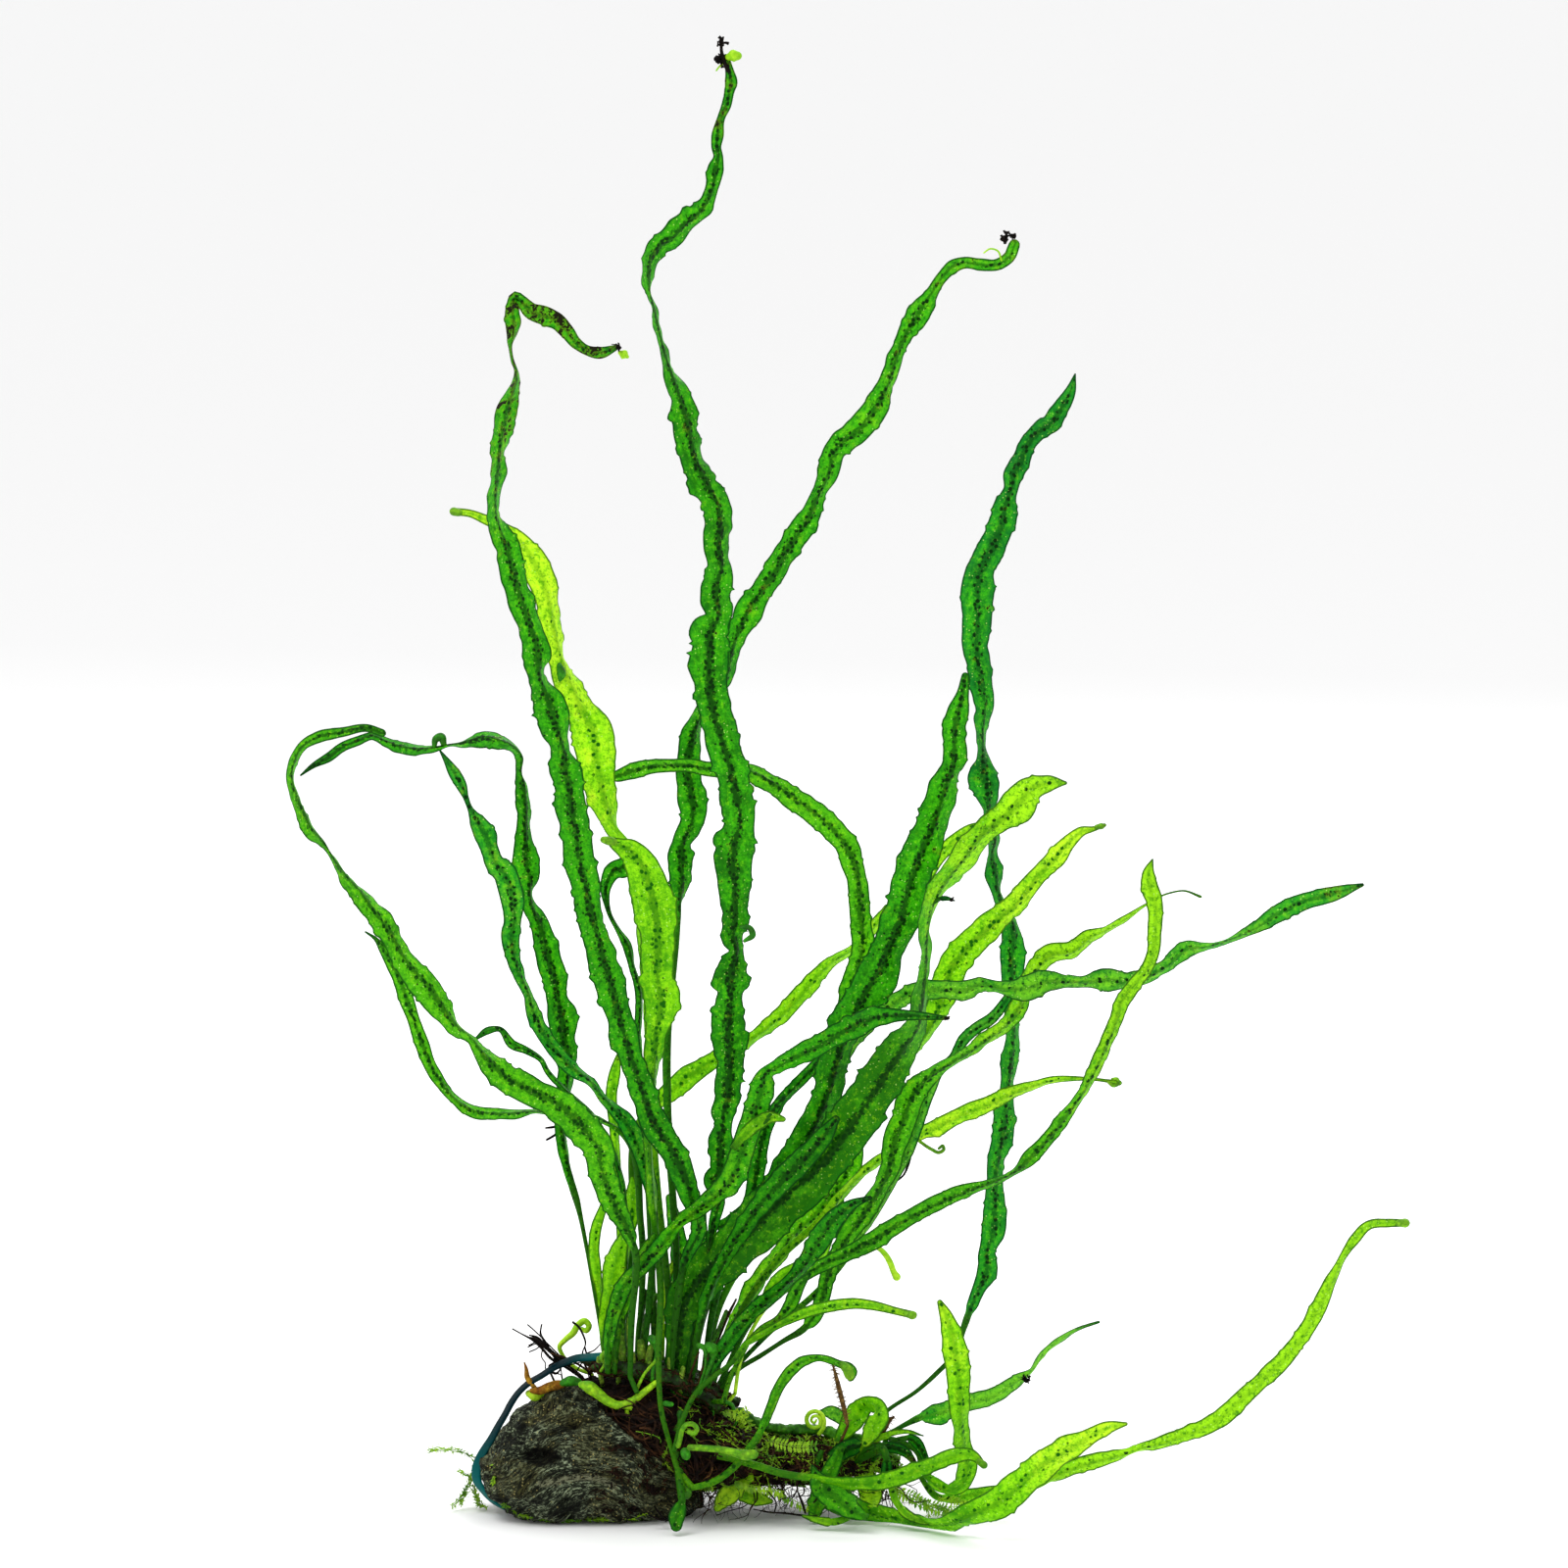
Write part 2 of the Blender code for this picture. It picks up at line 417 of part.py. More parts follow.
def leaf_ring(place, way, half_seen, half_real, half_thick):
    """Four points round a leaf: it is turned about its length until it shows the width seen."""
    across = way.cross(sight_direction(place)).normalized()
    facing = across.cross(way).normalized()
    turn = min(math.acos(min(1.0, half_seen / half_real)), STEEPEST_TURN)
    side = across * math.cos(turn) + facing * math.sin(turn)
    through = facing * math.cos(turn) - across * math.sin(turn)
    half = max(half_seen, min(half_real, half_seen / math.cos(STEEPEST_TURN)))
    return [place + side * half, place + through * half_thick,
            place - side * half, place - through * half_thick]


def above_ground(ring):
    return [Vector((p.x, p.y, max(p.z, GAP))) for p in ring]


def clear_of(carriers, ring):
    """Whether every point of a ring, and its middle, keeps the gap to what carries the leaf."""
    for point in ring + [sum(ring, Vector()) / len(ring)]:
        for tree in carriers:
            near, normal, _, distance = tree.find_nearest(point)
            just_inside = distance < 2 * FOOT_STEP and (point - near).dot(normal) < 0
            if distance < GAP or just_inside:
                return False
    return True


def down_to_carrier(last, carriers):
    """Places on from a leaf's last one, straight to the nearest point of what carries it."""
    found = min((tree.find_nearest(last) for tree in carriers), key=lambda near: near[3])
    steps = math.ceil(found[3] / FOOT_STEP)
    return [last.lerp(found[0], (i + 1) / steps) for i in range(steps)]


def make_leaf(name, carriers):
    lane, blade, colour, route = LEAVES[name]
    fine = smooth_route(route)
    offset, reach = FOOT_OFFSETS.get(name, (0, 1))
    flat = fine[:, :2] * PIXEL
    from_foot = np.concatenate([[0], np.cumsum(np.linalg.norm(np.diff(flat[::-1], axis=0), axis=1))])[::-1]
    length = from_foot[0]
    places = []
    for (column, row, _), foot in zip(fine, from_foot):
        depth = lane_depth(lane, column, row)
        depth += offset * (1 - smooth_step(2 * foot / reach - 1))
        places.append(in_space(column, row, depth))
    places += down_to_carrier(places[-1], carriers)
    rings = []
    for i in range(len(places)):
        way = (places[min(i + 1, len(places) - 1)] - places[max(i - 1, 0)]).normalized()
        traced = min(i, len(fine) - 1)
        half_seen = max(fine[traced, 2], 1.0) * PIXEL
        share = from_foot[traced] / length
        flatness = smooth_step(share / 0.35) * smooth_step((1 - share) / 0.2)
        half_real = max(half_seen, blade * PIXEL * flatness)
        half_thick = (STALK_THICKNESS + (BLADE_THICKNESS - STALK_THICKNESS) * flatness) / 2
        rings.append(above_ground(leaf_ring(places[i], way, half_seen, half_real, half_thick)))
    last = next((i for i, ring in enumerate(rings) if not clear_of(carriers, ring)), len(rings)) - 1
    picked = pick_rings(np.array([tuple(place) for place in places[:last + 1]]))
    return solid_from_rings(name, [rings[i] for i in picked], colour)


def round_ring(place, way, radius, sides):
    across = way.cross(sight_direction(place)).normalized()
    facing = across.cross(way).normalized()
    return [place + (across * math.cos(a) + facing * math.sin(a)) * radius
            for a in (2 * math.pi * i / sides for i in range(sides))]


def make_stem(name, places, radii, colour, carriers=(), sides=4, pointed=True):
    """A round stem through places in space, cut off where it comes to a carrier."""
    rings = []
    for i, place in enumerate(places):
        way = (places[min(i + 1, len(places) - 1)] - places[max(i - 1, 0)]).normalized()
        rings.append(above_ground(round_ring(place, way, radii[i], sides)))
    last = next((i for i, ring in enumerate(rings) if not clear_of(carriers, ring)), len(rings)) - 1
    picked = pick_rings(np.array([tuple(place) for place in places[:last + 1]]))
    return solid_from_rings(name, [rings[i] for i in picked], colour, pointed=pointed)


def make_free_stem(name, carriers):
    depth, colour, route = STEMS[name]
    fine = smooth_route(route)
    places = [in_space(column, row, depth) for column, row, _ in fine]
    radii = list(fine[:, 2] * PIXEL)
    beyond = down_to_carrier(places[-1], carriers)
    return make_stem(name, places + beyond, radii + [radii[-1]] * len(beyond), colour, carriers)


def make_crozier(name, carriers):
    """A tip rolled up like a watch spring, one turn and a half, on its stalk."""
    depth, centre, radius, stalk = CROZIERS[name]
    leaving = math.atan2(stalk[0][1] - centre[1], stalk[0][0] - centre[0]) - math.pi / 2
    turns = 1.15
    points = []
    for i in range(19):
        share = i / 18
        angle = leaving - (1 - share) * turns * 2 * math.pi
        size = radius * (0.3 + 0.7 * share)
        points.append((centre[0] + size * math.cos(angle), centre[1] + size * math.sin(angle), 1.4))
    points += [(column, row, 2.2) for column, row in stalk]
    fine = smooth_route(points)
    places = [in_space(column, row, depth) for column, row, _ in fine]
    return make_stem(name, places, fine[:, 2] * PIXEL, YOUNG_GREEN, carriers)


def lumpy(place, size, amount):
    """Moves a place by layered noise; size is the width of the largest lumps."""
    return place + noise.noise_vector(place / size) * amount \
        + noise.noise_vector(place / (size * 0.37)) * amount * 0.45


def section_ring(column, top, bottom, half_depth, count, squareness):
    """A rounded-square ring of points across the picture at one column."""
    high = in_space(column, top, 0)
    low = in_space(column, bottom, -half_depth * 0.6)
    middle, half_height = (high.z + low.z) / 2, (high.z - low.z) / 2
    ring = []
    for i in range(count):
        angle = 2 * math.pi * (i + 0.5) / count
        c, s = math.cos(angle), math.sin(angle)
        y = math.copysign(abs(c) ** squareness, c) * half_depth
        z = math.copysign(abs(s) ** squareness, s) * half_height
        ring.append(Vector((high.x, y, middle + z)))
    return ring


def make_stone():
    """A stone of layered lumps whose underside is worn flat."""
    rings = []
    for column, top, bottom, share in STONE_SECTIONS:
        ring = section_ring(column, top, bottom, share * STONE_DEPTH / 2, 18, 0.82)
        ring = [lumpy(place, 0.009, 0.0011) for place in ring]
        rings.append([Vector((p.x, p.y, p.z if p.z > 0.0009 else 0.0)) for p in ring])
    return solid_from_rings("stone", rings, (0.05, 0.045, 0.035), 0.8)


def make_cutter(piece, margin):
    """A copy of a piece swollen by a margin, to cut room for it in its neighbour."""
    mesh = piece.data.copy()
    build = bmesh.new()
    build.from_mesh(mesh)
    build.normal_update()
    moves = [(vert, vert.normal * margin) for vert in build.verts]
    for vert, move in moves:
        vert.co += move
    build.to_mesh(mesh)
    build.free()
    cutter = bpy.data.objects.new(piece.name + "_room", mesh)
    bpy.context.scene.collection.objects.link(cutter)
    cutter.hide_render = True
    cutter.display_type = "WIRE"
    return cutter


def make_root_mat(stone):
    """Matted roots over the stone's right half and beyond it, cut to fit the stone."""
    rings = []
    for column, top, bottom, half_depth in MAT_SECTIONS:
        ring = section_ring(column, top, bottom, half_depth, 14, 0.9)
        ring = [lumpy(place, 0.007, 0.0012) for place in ring]
        rings.append([Vector((p.x, p.y, max(p.z, GAP * 2))) for p in ring])
    mat = solid_from_rings("root_mat", rings, ROOT_BROWN, 0.95)
    fit = mat.modifiers.new("fit_to_stone", "BOOLEAN")
    fit.operation = "DIFFERENCE"
    fit.object = make_cutter(stone, GAP * 1.7)
    return mat


def make_rhizome(name, carriers):
    """A creeping stem that lies on what carries it, lifted clear of it by the gap."""
    depth, colour, route = RHIZOMES[name]
    fine = smooth_route(route)
    places, radii = [], []
    for column, row, half in fine:
        place, radius = in_space(column, row, depth), half * PIXEL
        for tree in carriers:
            hit = tree.ray_cast(place + Vector((0, 0, 0.05)), Vector((0, 0, -1)))[0]
            if hit is not None:
                place.z = max(place.z, hit.z + radius + GAP * 1.5)
        places.append(place)
        radii.append(radius)
    return make_stem(name, places, radii, colour, sides=6)


def make_laid_stem(name, route, colour, carriers):
    """A stem on the near side of what carries it, following its surface in an even curve."""
    fine = smooth_route(route)
    depths = []
    for column, row, half in fine:
        start = in_space(column, row, -0.06)
        hits = [tree.ray_cast(start, sight_direction(start))[0] for tree in carriers]
        surface = min(hit.y for hit in hits if hit is not None)
        depths.append(surface - half * PIXEL - GAP * 4)
    reach = FINE_STEPS // 2
    near = [min(depths[max(i - reach, 0):i + reach + 1]) for i in range(len(depths))]
    padded = np.pad(near, reach, mode="edge")
    even = np.convolve(padded, np.ones(2 * reach + 1) / (2 * reach + 1), mode="valid")
    places = [in_space(row[0], row[1], depth) for row, depth in zip(fine, even)]
    return make_stem(name, places, fine[:, 2] * PIXEL, colour, sides=6)


def make_tie():
    """The rubber tie: a flat strap over the rhizome, down the stone's left end and under it."""
    points = [(column, row, turn) for (column, row), turn in zip(TIE_ROUTE, TIE_TURNS)]
    fine = smooth_route(points)
    places = [in_space(column, row, TIE_DEPTH) for column, row, _ in fine]
    rings = []
    for i, place in enumerate(places):
        way = (places[min(i + 1, len(places) - 1)] - places[max(i - 1, 0)]).normalized()
        across = way.cross(sight_direction(place)).normalized()
        facing = across.cross(way).normalized()
        turn = math.radians(fine[i, 2])
        thick = (across * math.cos(turn) + facing * math.sin(turn)) * TIE_THICKNESS / 2
        wide = (facing * math.cos(turn) - across * math.sin(turn)) * TIE_WIDTH / 2
        rings.append(above_ground([place + thick + wide, place - thick + wide,
                                   place - thick - wide, place + thick - wide]))
    picked = pick_rings(np.array([tuple(place) for place in places]))
    return solid_from_rings("tie_band", [rings[i] for i in picked], (0.0, 0.10, 0.10), 0.3, pointed=False)


def tree_of(piece):
    return BVHTree.FromObject(piece, bpy.context.evaluated_depsgraph_get())


def main():
    clear_scene()
    noise.seed_set(LUMPS_SEED)
    stone = make_stone()
    mat = make_root_mat(stone)
    bpy.context.view_layer.update()
    carriers = [tree_of(stone), tree_of(mat)]
    rhizomes = [make_rhizome(name, carriers) for name in RHIZOMES]
    rhizomes.append(make_laid_stem("rhizome_shoot", SHOOT_ROUTE, YOUNG_GREEN, carriers))
    rhizomes.append(make_laid_stem("rhizome_front", FRONT_RHIZOME_ROUTE, YOUNG_GREEN, carriers))
    make_tie()
    bpy.context.view_layer.update()
    carriers += [tree_of(rhizome) for rhizome in rhizomes]
    for name in LEAVES:
        make_leaf(name, carriers)
    for name in STEMS:
        make_free_stem(name, carriers)
    for name in CROZIERS:
        make_crozier(name, carriers)


main()
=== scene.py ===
"""Needle leaf java fern on a stone: the look of each piece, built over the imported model."""
import math
import random

import bpy
import numpy as np
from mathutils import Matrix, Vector, noise
from mathutils.bvhtree import BVHTree


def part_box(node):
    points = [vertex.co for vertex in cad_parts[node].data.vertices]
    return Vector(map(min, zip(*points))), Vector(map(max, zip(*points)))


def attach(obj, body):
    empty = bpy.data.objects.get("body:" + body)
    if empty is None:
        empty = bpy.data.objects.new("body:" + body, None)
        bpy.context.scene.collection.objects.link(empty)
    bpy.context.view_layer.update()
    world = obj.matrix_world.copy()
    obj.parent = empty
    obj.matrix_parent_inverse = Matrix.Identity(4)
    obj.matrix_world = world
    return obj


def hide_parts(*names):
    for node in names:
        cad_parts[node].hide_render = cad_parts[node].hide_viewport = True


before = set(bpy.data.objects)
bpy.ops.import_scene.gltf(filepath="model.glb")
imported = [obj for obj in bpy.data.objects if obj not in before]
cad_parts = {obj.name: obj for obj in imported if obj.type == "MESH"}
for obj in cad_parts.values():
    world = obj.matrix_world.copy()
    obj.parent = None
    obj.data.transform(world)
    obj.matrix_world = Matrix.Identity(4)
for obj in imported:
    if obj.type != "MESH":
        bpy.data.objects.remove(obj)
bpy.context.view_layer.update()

chance = random.Random(41)
noise.seed_set(7)

# The camera
# The picture was taken from far off and slightly above. Every leaf below is a list of
# (column, row, half width) in that picture's pixels, so this also says where those lie.

PICTURE = 1600
MIDDLE = 800
STONE_COLUMN = 598
BASE_ROW = 1543
PLANT_HEIGHT = 0.227
PLANT_ROWS = 1505
TILT = 6
DISTANCE = 1.3
LEAN = math.cos(math.radians(TILT))
RISE = math.sin(math.radians(TILT))
PIXEL = PLANT_HEIGHT * LEAN / PLANT_ROWS
GROUND = (MIDDLE - BASE_ROW) * PIXEL
REACH = DISTANCE * LEAN / (DISTANCE * LEAN + GROUND * RISE)
EYE_HEIGHT = REACH * (DISTANCE * RISE - GROUND * LEAN)
EYE = Vector(((MIDDLE - STONE_COLUMN) * PIXEL, -DISTANCE * LEAN, EYE_HEIGHT))


def placed(name, data):
    """A new thing in the scene, made from a camera, a mesh or a light."""
    thing = bpy.data.objects.new(name, data)
    bpy.context.scene.collection.objects.link(thing)
    return thing


lens = bpy.data.cameras.new("camera")
lens.sensor_width = 36
lens.lens = lens.sensor_width * DISTANCE / (PICTURE * PIXEL)
camera = placed("camera", lens)
camera.location = EYE
camera.rotation_euler = (math.radians(90 - TILT), 0, 0)
bpy.context.scene.camera = camera


def in_space(column, row, depth):
    """The point seen at a place in the picture, at a depth behind the stone's middle."""
    up = (MIDDLE - row) * PIXEL
    ray = Vector(((column - MIDDLE) * PIXEL, DISTANCE * LEAN + up * RISE, up * LEAN - DISTANCE * RISE))
    return EYE + ray * ((depth - EYE.y) / ray.y)


# The stone
# A dark, layered stone the size of a walnut, worn flat underneath. Its skin is pitted, with
# pale grains in it that also stand in for wet glints (painted highlight), a hollow in its near face
# that is painted near-black (painted shade), and a pale streak below that which is a painted
# highlight. Its pits and crevices are painted near-black as painted shade.


def wire(tree, kind, inputs=(), **settings):
    """Adds a shader node. Each input is a number, a colour or what another node gives."""
    node = tree.nodes.new("ShaderNode" + kind)
    for key, value in settings.items():
        setattr(node, key, value)
    for key, value in dict(inputs).items():
        if isinstance(value, bpy.types.NodeSocket):
            tree.links.new(value, node.inputs[key])
        else:
            node.inputs[key].default_value = value
    return node


def maths(tree, operation, first, second=0.0):
    return wire(tree, "Math", {0: first, 1: second}, operation=operation).outputs[0]


def plus(tree, first, second):
    return maths(tree, "ADD", first, second)


def minus(tree, first, second):
    return maths(tree, "SUBTRACT", first, second)


def times(tree, first, second):
    return maths(tree, "MULTIPLY", first, second)


def ease(tree, value, start, end, low=0.0, high=1.0):
    """Goes smoothly from low to high as the value goes from start to end."""
    inputs = {0: value, 1: start, 2: end, 3: low, 4: high}
    return wire(tree, "MapRange", inputs, interpolation_type="SMOOTHSTEP").outputs[0]


def tint(tree, share, first, second):
    """The first colour, with a share of the second one laid over it."""
    return wire(tree, "Mix", {0: share, 6: first, 7: second}, data_type="RGBA").outputs[2]


def speckle(tree, where, scale, detail, roughness):
    inputs = {"Vector": where, "Scale": scale, "Detail": detail, "Roughness": roughness}
    return wire(tree, "TexNoise", inputs).outputs[0]


def cells(tree, where, scale):
    """How far each place is from the nearest of many random points, and a random number for it."""
    node = wire(tree, "TexVoronoi", {"Vector": where, "Scale": scale})
    split = wire(tree, "SeparateColor", {0: node.outputs["Color"]})
    return node.outputs["Distance"], split.outputs[0]


def relief(tree, height, strength, depth):
    inputs = {"Height": height, "Strength": strength, "Distance": depth}
    return wire(tree, "Bump", inputs).outputs[0]


def marked(tree, name):
    return wire(tree, "Attribute", attribute_name=name).outputs["Fac"]


def new_finish(name):
    finish = bpy.data.materials.new(name)
    finish.use_nodes = True
    finish.node_tree.nodes.clear()
    return finish, finish.node_tree


def show(tree, shader):
    wire(tree, "OutputMaterial", {"Surface": shader.outputs[0]})


def stone_finish():
    finish, tree = new_finish("wet_dark_stone")
    where = wire(tree, "TexCoord").outputs["Object"]
    split = wire(tree, "SeparateXYZ", {0: where})
    level = times(tree, marked(tree, "level"), 3.2)
    layers = wire(tree, "CombineXYZ", {0: split.outputs[0], 1: split.outputs[1], 2: level}).outputs[0]
    broad = speckle(tree, layers, 190, 6, 0.72)
    patches = speckle(tree, where, 110, 3, 0.6)
    fine = speckle(tree, layers, 1150, 5, 0.8)
    grain, pick = cells(tree, where, 2300)
    colour = tint(tree, ease(tree, broad, 0.36, 0.66), (0.0010, 0.0013, 0.0008, 1), (0.022, 0.028, 0.016, 1))
    # Pale grains, partly their own colour and partly painted highlight: they also stand in for the glints of
    # the wet skin.
    bright = times(tree, ease(tree, fine, 0.50, 0.59, 0, 0.95), ease(tree, broad, 0.42, 0.56, 0.08, 1.0))
    colour = tint(tree, bright, colour, (0.38, 0.46, 0.28, 1))
    olive = times(tree, ease(tree, patches, 0.46, 0.62), ease(tree, fine, 0.42, 0.60, 0, 0.7))
    colour = tint(tree, olive, colour, (0.085, 0.080, 0.022, 1))
    thick = plus(tree, pick, ease(tree, patches, 0.40, 0.62, 0, 0.30))
    golden = times(tree, ease(tree, grain, 0.34, 0.16), ease(tree, thick, 0.96, 1.0, 0, 0.9))
    colour = tint(tree, golden, colour, (0.42, 0.36, 0.13, 1))
    # Painted highlight: a pale streak below the hollow, where the wet skin catches the light.
    streak = ease(tree, marked(tree, "streak"), 0.1, 0.8, 0, 0.9)
    colour = tint(tree, times(tree, streak, ease(tree, fine, 0.42, 0.58)), colour, (0.26, 0.27, 0.16, 1))
    # Painted shade: the hollows in the near face are painted near-black.
    sunk = ease(tree, marked(tree, "sunk"), 0.1, 0.7, 0, 0.9)
    colour = tint(tree, sunk, colour, (0.0016, 0.0013, 0.001, 1))
    # Painted shade: the pits and crevices between the layers are painted near-black.
    crevice_shade = ease(tree, marked(tree, "crevice_shade"), 0.05, 0.75, 0, 0.9)
    colour = tint(tree, crevice_shade, colour, (0.0016, 0.0015, 0.001, 1))
    height = plus(tree, times(tree, broad, 2.0), fine)
    shader = wire(tree, "BsdfPrincipled", {
        "Base Color": colour, "Roughness": ease(tree, broad, 0.3, 0.7, 0.55, 0.85),
        "Specular IOR Level": 0.07, "Normal": relief(tree, height, 1.0, 0.0006)})
    show(tree, shader)
    return finish


def fine_copy(node, name, grain, rounds):
    """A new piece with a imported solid's form, meshed evenly and softened."""
    piece = placed(name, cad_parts[node].data.copy())
    even = piece.modifiers.new("even", "REMESH")
    even.mode = "VOXEL"
    even.voxel_size = grain
    soft = piece.modifiers.new("soft", "SMOOTH")
    soft.iterations = rounds
    bpy.context.view_layer.update()
    mesh = bpy.data.meshes.new_from_object(piece.evaluated_get(bpy.context.evaluated_depsgraph_get()))
    piece.modifiers.clear()
    piece.data = mesh
    mesh.shade_smooth()
    return piece


def push_skin(piece, amount, lowest=0.0):
    """Moves every point of a piece along its normal by amount(place), and keeps it above a height."""
    skin = [(vert.co.copy(), vert.normal.copy()) for vert in piece.data.vertices]
    moved = [place + out * amount(place) for place, out in skin]
    flat = [value for p in moved for value in (p.x, p.y, max(p.z, lowest))]
    piece.data.vertices.foreach_set("co", flat)
    piece.data.update()


def finish_piece(piece, finish, slot_name, *nodes):
    piece.data.materials.clear()
    piece.data.materials.append(finish)
    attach(piece, "root")
    if nodes:
        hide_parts(*nodes)


def mark(mesh, name, values):
    mesh.attributes.new(name, "FLOAT", "POINT").data.foreach_set("value", np.asarray(values, np.float32))


stone = fine_copy("stone", "dark_stone", 0.00026, 4)

# Each hollow: column, row, half width, half height and depth. The painted highlight streak is a
# line of places.
HOLLOWS = [(552, 1486, 0.0034, 0.0014, 0.0020), (530, 1473, 0.0011, 0.0008, 0.0007),
           (596, 1455, 0.0022, 0.0005, 0.0006)]
HIGHLIGHT_STREAK = [(552, 1514), (566, 1511), (580, 1508), (594, 1506), (606, 1507), (618, 1511), (628, 1517)]
hollows = [(in_space(column, row, -0.013), *size) for column, row, *size in HOLLOWS]
highlight_ends = [in_space(column, row, -0.014) for column, row in HIGHLIGHT_STREAK]
highlight_line = [a.lerp(b, k / 6) for a, b in zip(highlight_ends, highlight_ends[1:]) for k in range(6)]


def sunk_at(place):
    """How deep the hollows in the near face are at a place, in metres."""
    if place.y > -0.003:
        return 0
    sunk = 0
    for middle, wide, high, deep in hollows:
        off = ((place.x - middle.x) / wide) ** 2 + ((place.z - middle.z) / high) ** 2
        sunk += deep * math.exp(-(off ** 2))
    return sunk


def layer_at(place):
    """The height of the layer that a place lies in; the layers bend down to both ends."""
    bend = 0.0085 * (math.hypot(1, (place.x - 0.001) / 0.010) - 1)
    return place.z + bend + 0.0016 * noise.noise(place / 0.007)


def stone_relief(place):
    """How far the layers' edges and the pits move the skin out, in metres."""
    ledge = noise.noise(Vector((place.x / 0.020, place.y / 0.014, layer_at(place) / 0.00125)))
    crag = noise.turbulence(place / 0.0042, 4, False, noise_basis="PERLIN_ORIGINAL", amplitude_scale=0.6)
    return 0.00060 * ledge - 0.00095 * crag + 0.00050


def stone_skin(place):
    """The relief and the hollows, fading out towards the flat underside."""
    return (stone_relief(place) - sunk_at(place)) * min(1, max(0, place.z / 0.0012))


def highlight_streak_at(place):
    """How much of the painted highlight streak shows at a place, from 0 to 1."""
    if place.y > -0.004:
        return 0
    near = min(math.hypot(place.x - p.x, place.z - p.z) for p in highlight_line)
    return math.exp(-(near / 0.00055) ** 2)


# Marks for the finish: the painted highlight streak, the hollows and crevices that are painted near-black as
# painted shade, and the layers.
mark(stone.data, "streak", [highlight_streak_at(vert.co) for vert in stone.data.vertices])
mark(stone.data, "sunk", [sunk_at(vert.co) / 0.002 for vert in stone.data.vertices])
mark(stone.data, "level", [layer_at(vert.co) for vert in stone.data.vertices])
mark(stone.data, "crevice_shade", [-stone_relief(vert.co) / 0.0007 for vert in stone.data.vertices])
push_skin(stone, stone_skin)
finish_piece(stone, stone_finish(), "stone", "stone")

# The root mat
# Wiry red-brown roots, old stalk stumps and dirt, felted together over the stone's right half
# and beyond it. The core is a rough lump, and single roots creep over it and hang from it.


def faded(colour, share):
    """The same colour, darker."""
    return tuple(value * share for value in colour[:3]) + (1,)


def fibre_finish(name, dark, light, scale):
    """Dull and fibrous, with streaks and specks at the given scale."""
    finish, tree = new_finish(name)
    where = wire(tree, "TexCoord").outputs["Object"]
    broad = speckle(tree, where, scale * 0.2, 4, 0.6)
    fine = speckle(tree, where, scale, 5, 0.75)
    colour = tint(tree, ease(tree, broad, 0.35, 0.7), dark, light)
    colour = tint(tree, ease(tree, fine, 0.35, 0.65, 0.8, 0.0), colour, faded(dark, 0.25))
    shader = wire(tree, "BsdfPrincipled", {
        "Base Color": colour, "Roughness": 0.8, "Specular IOR Level": 0.1,
        "Normal": relief(tree, fine, 0.8, 0.0003)})
    show(tree, shader)
    return finish


def packed_tree(*nodes):
    """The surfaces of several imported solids, to be searched for the nearest place."""
    points, faces = [], []
    for node in nodes:
        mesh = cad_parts[node].data
        start = len(points)
        points += [vert.co.copy() for vert in mesh.vertices]
        faces += [[start + v for v in face.vertices] for face in mesh.polygons]
    return BVHTree.FromPolygons(points, faces)


def new_piece(name, points, faces, smooth=True):
    """A new piece from its points and faces, shaded smooth or flat."""
    mesh = bpy.data.meshes.new(name)
    mesh.from_pydata(points, [], faces)
    if smooth:
        mesh.shade_smooth()
    return placed(name, mesh)


def between_rings(low, high, sides):
    """The faces between two rings of points, which start at the given places in the list."""
    return [(low + k, low + (k + 1) % sides, high + (k + 1) % sides, high + k) for k in range(sides)]


def strand_mesh(name, strands, sides):
    """One mesh of many round strands; each is its points and its radii, closed at both ends."""
    points, faces = [], []
    for path, radii in strands:
        path = [Vector(p) for p in path]
        start = len(points)
        side = Vector((0.31, 0.87, 0.38))
        for i, place in enumerate(path):
            way = (path[min(i + 1, len(path) - 1)] - path[max(i - 1, 0)]).normalized()
            side = side - way * side.dot(way)
            if side.length < 1e-6:
                side = way.orthogonal()
            side.normalize()
            other = way.cross(side)
            for k in range(sides):
                angle = 2 * math.pi * k / sides
                points.append(place + (side * math.cos(angle) + other * math.sin(angle)) * radii[i])
            if i:
                faces += between_rings(start + (i - 1) * sides, start + i * sides, sides)
        faces.append([start + k for k in reversed(range(sides))])
        faces.append([start + (len(path) - 1) * sides + k for k in range(sides)])
    return new_piece(name, points, faces)


CREEP_STEP = 0.0007
LOWEST_ROOT = 0.0004


def creep(surface, start, way, length, lift, wander):
    """A path that creeps over a surface from a start, at a height above it that drifts."""
    place, path = start.copy(), []
    for _ in range(max(3, int(length / CREEP_STEP))):
        near, normal, _, _ = surface.find_nearest(place)
        height = lift * (0.6 + 0.8 * noise.noise(place / 0.004))
        path.append(near + normal * height)
        path[-1].z = max(path[-1].z, LOWEST_ROOT)
        way = (way + noise.noise_vector(place / 0.0022) * wander).normalized()
        way = (way - normal * way.dot(normal) * 0.9).normalized()
        place = path[-1] + way * CREEP_STEP
        place.z = max(place.z, LOWEST_ROOT)
    return path


def taper(count, thick, thin=0.25):
    """Radii for so many points, from thick down to a share of it."""
    return [thick * (1 - (1 - thin) * i / (count - 1)) for i in range(count)]


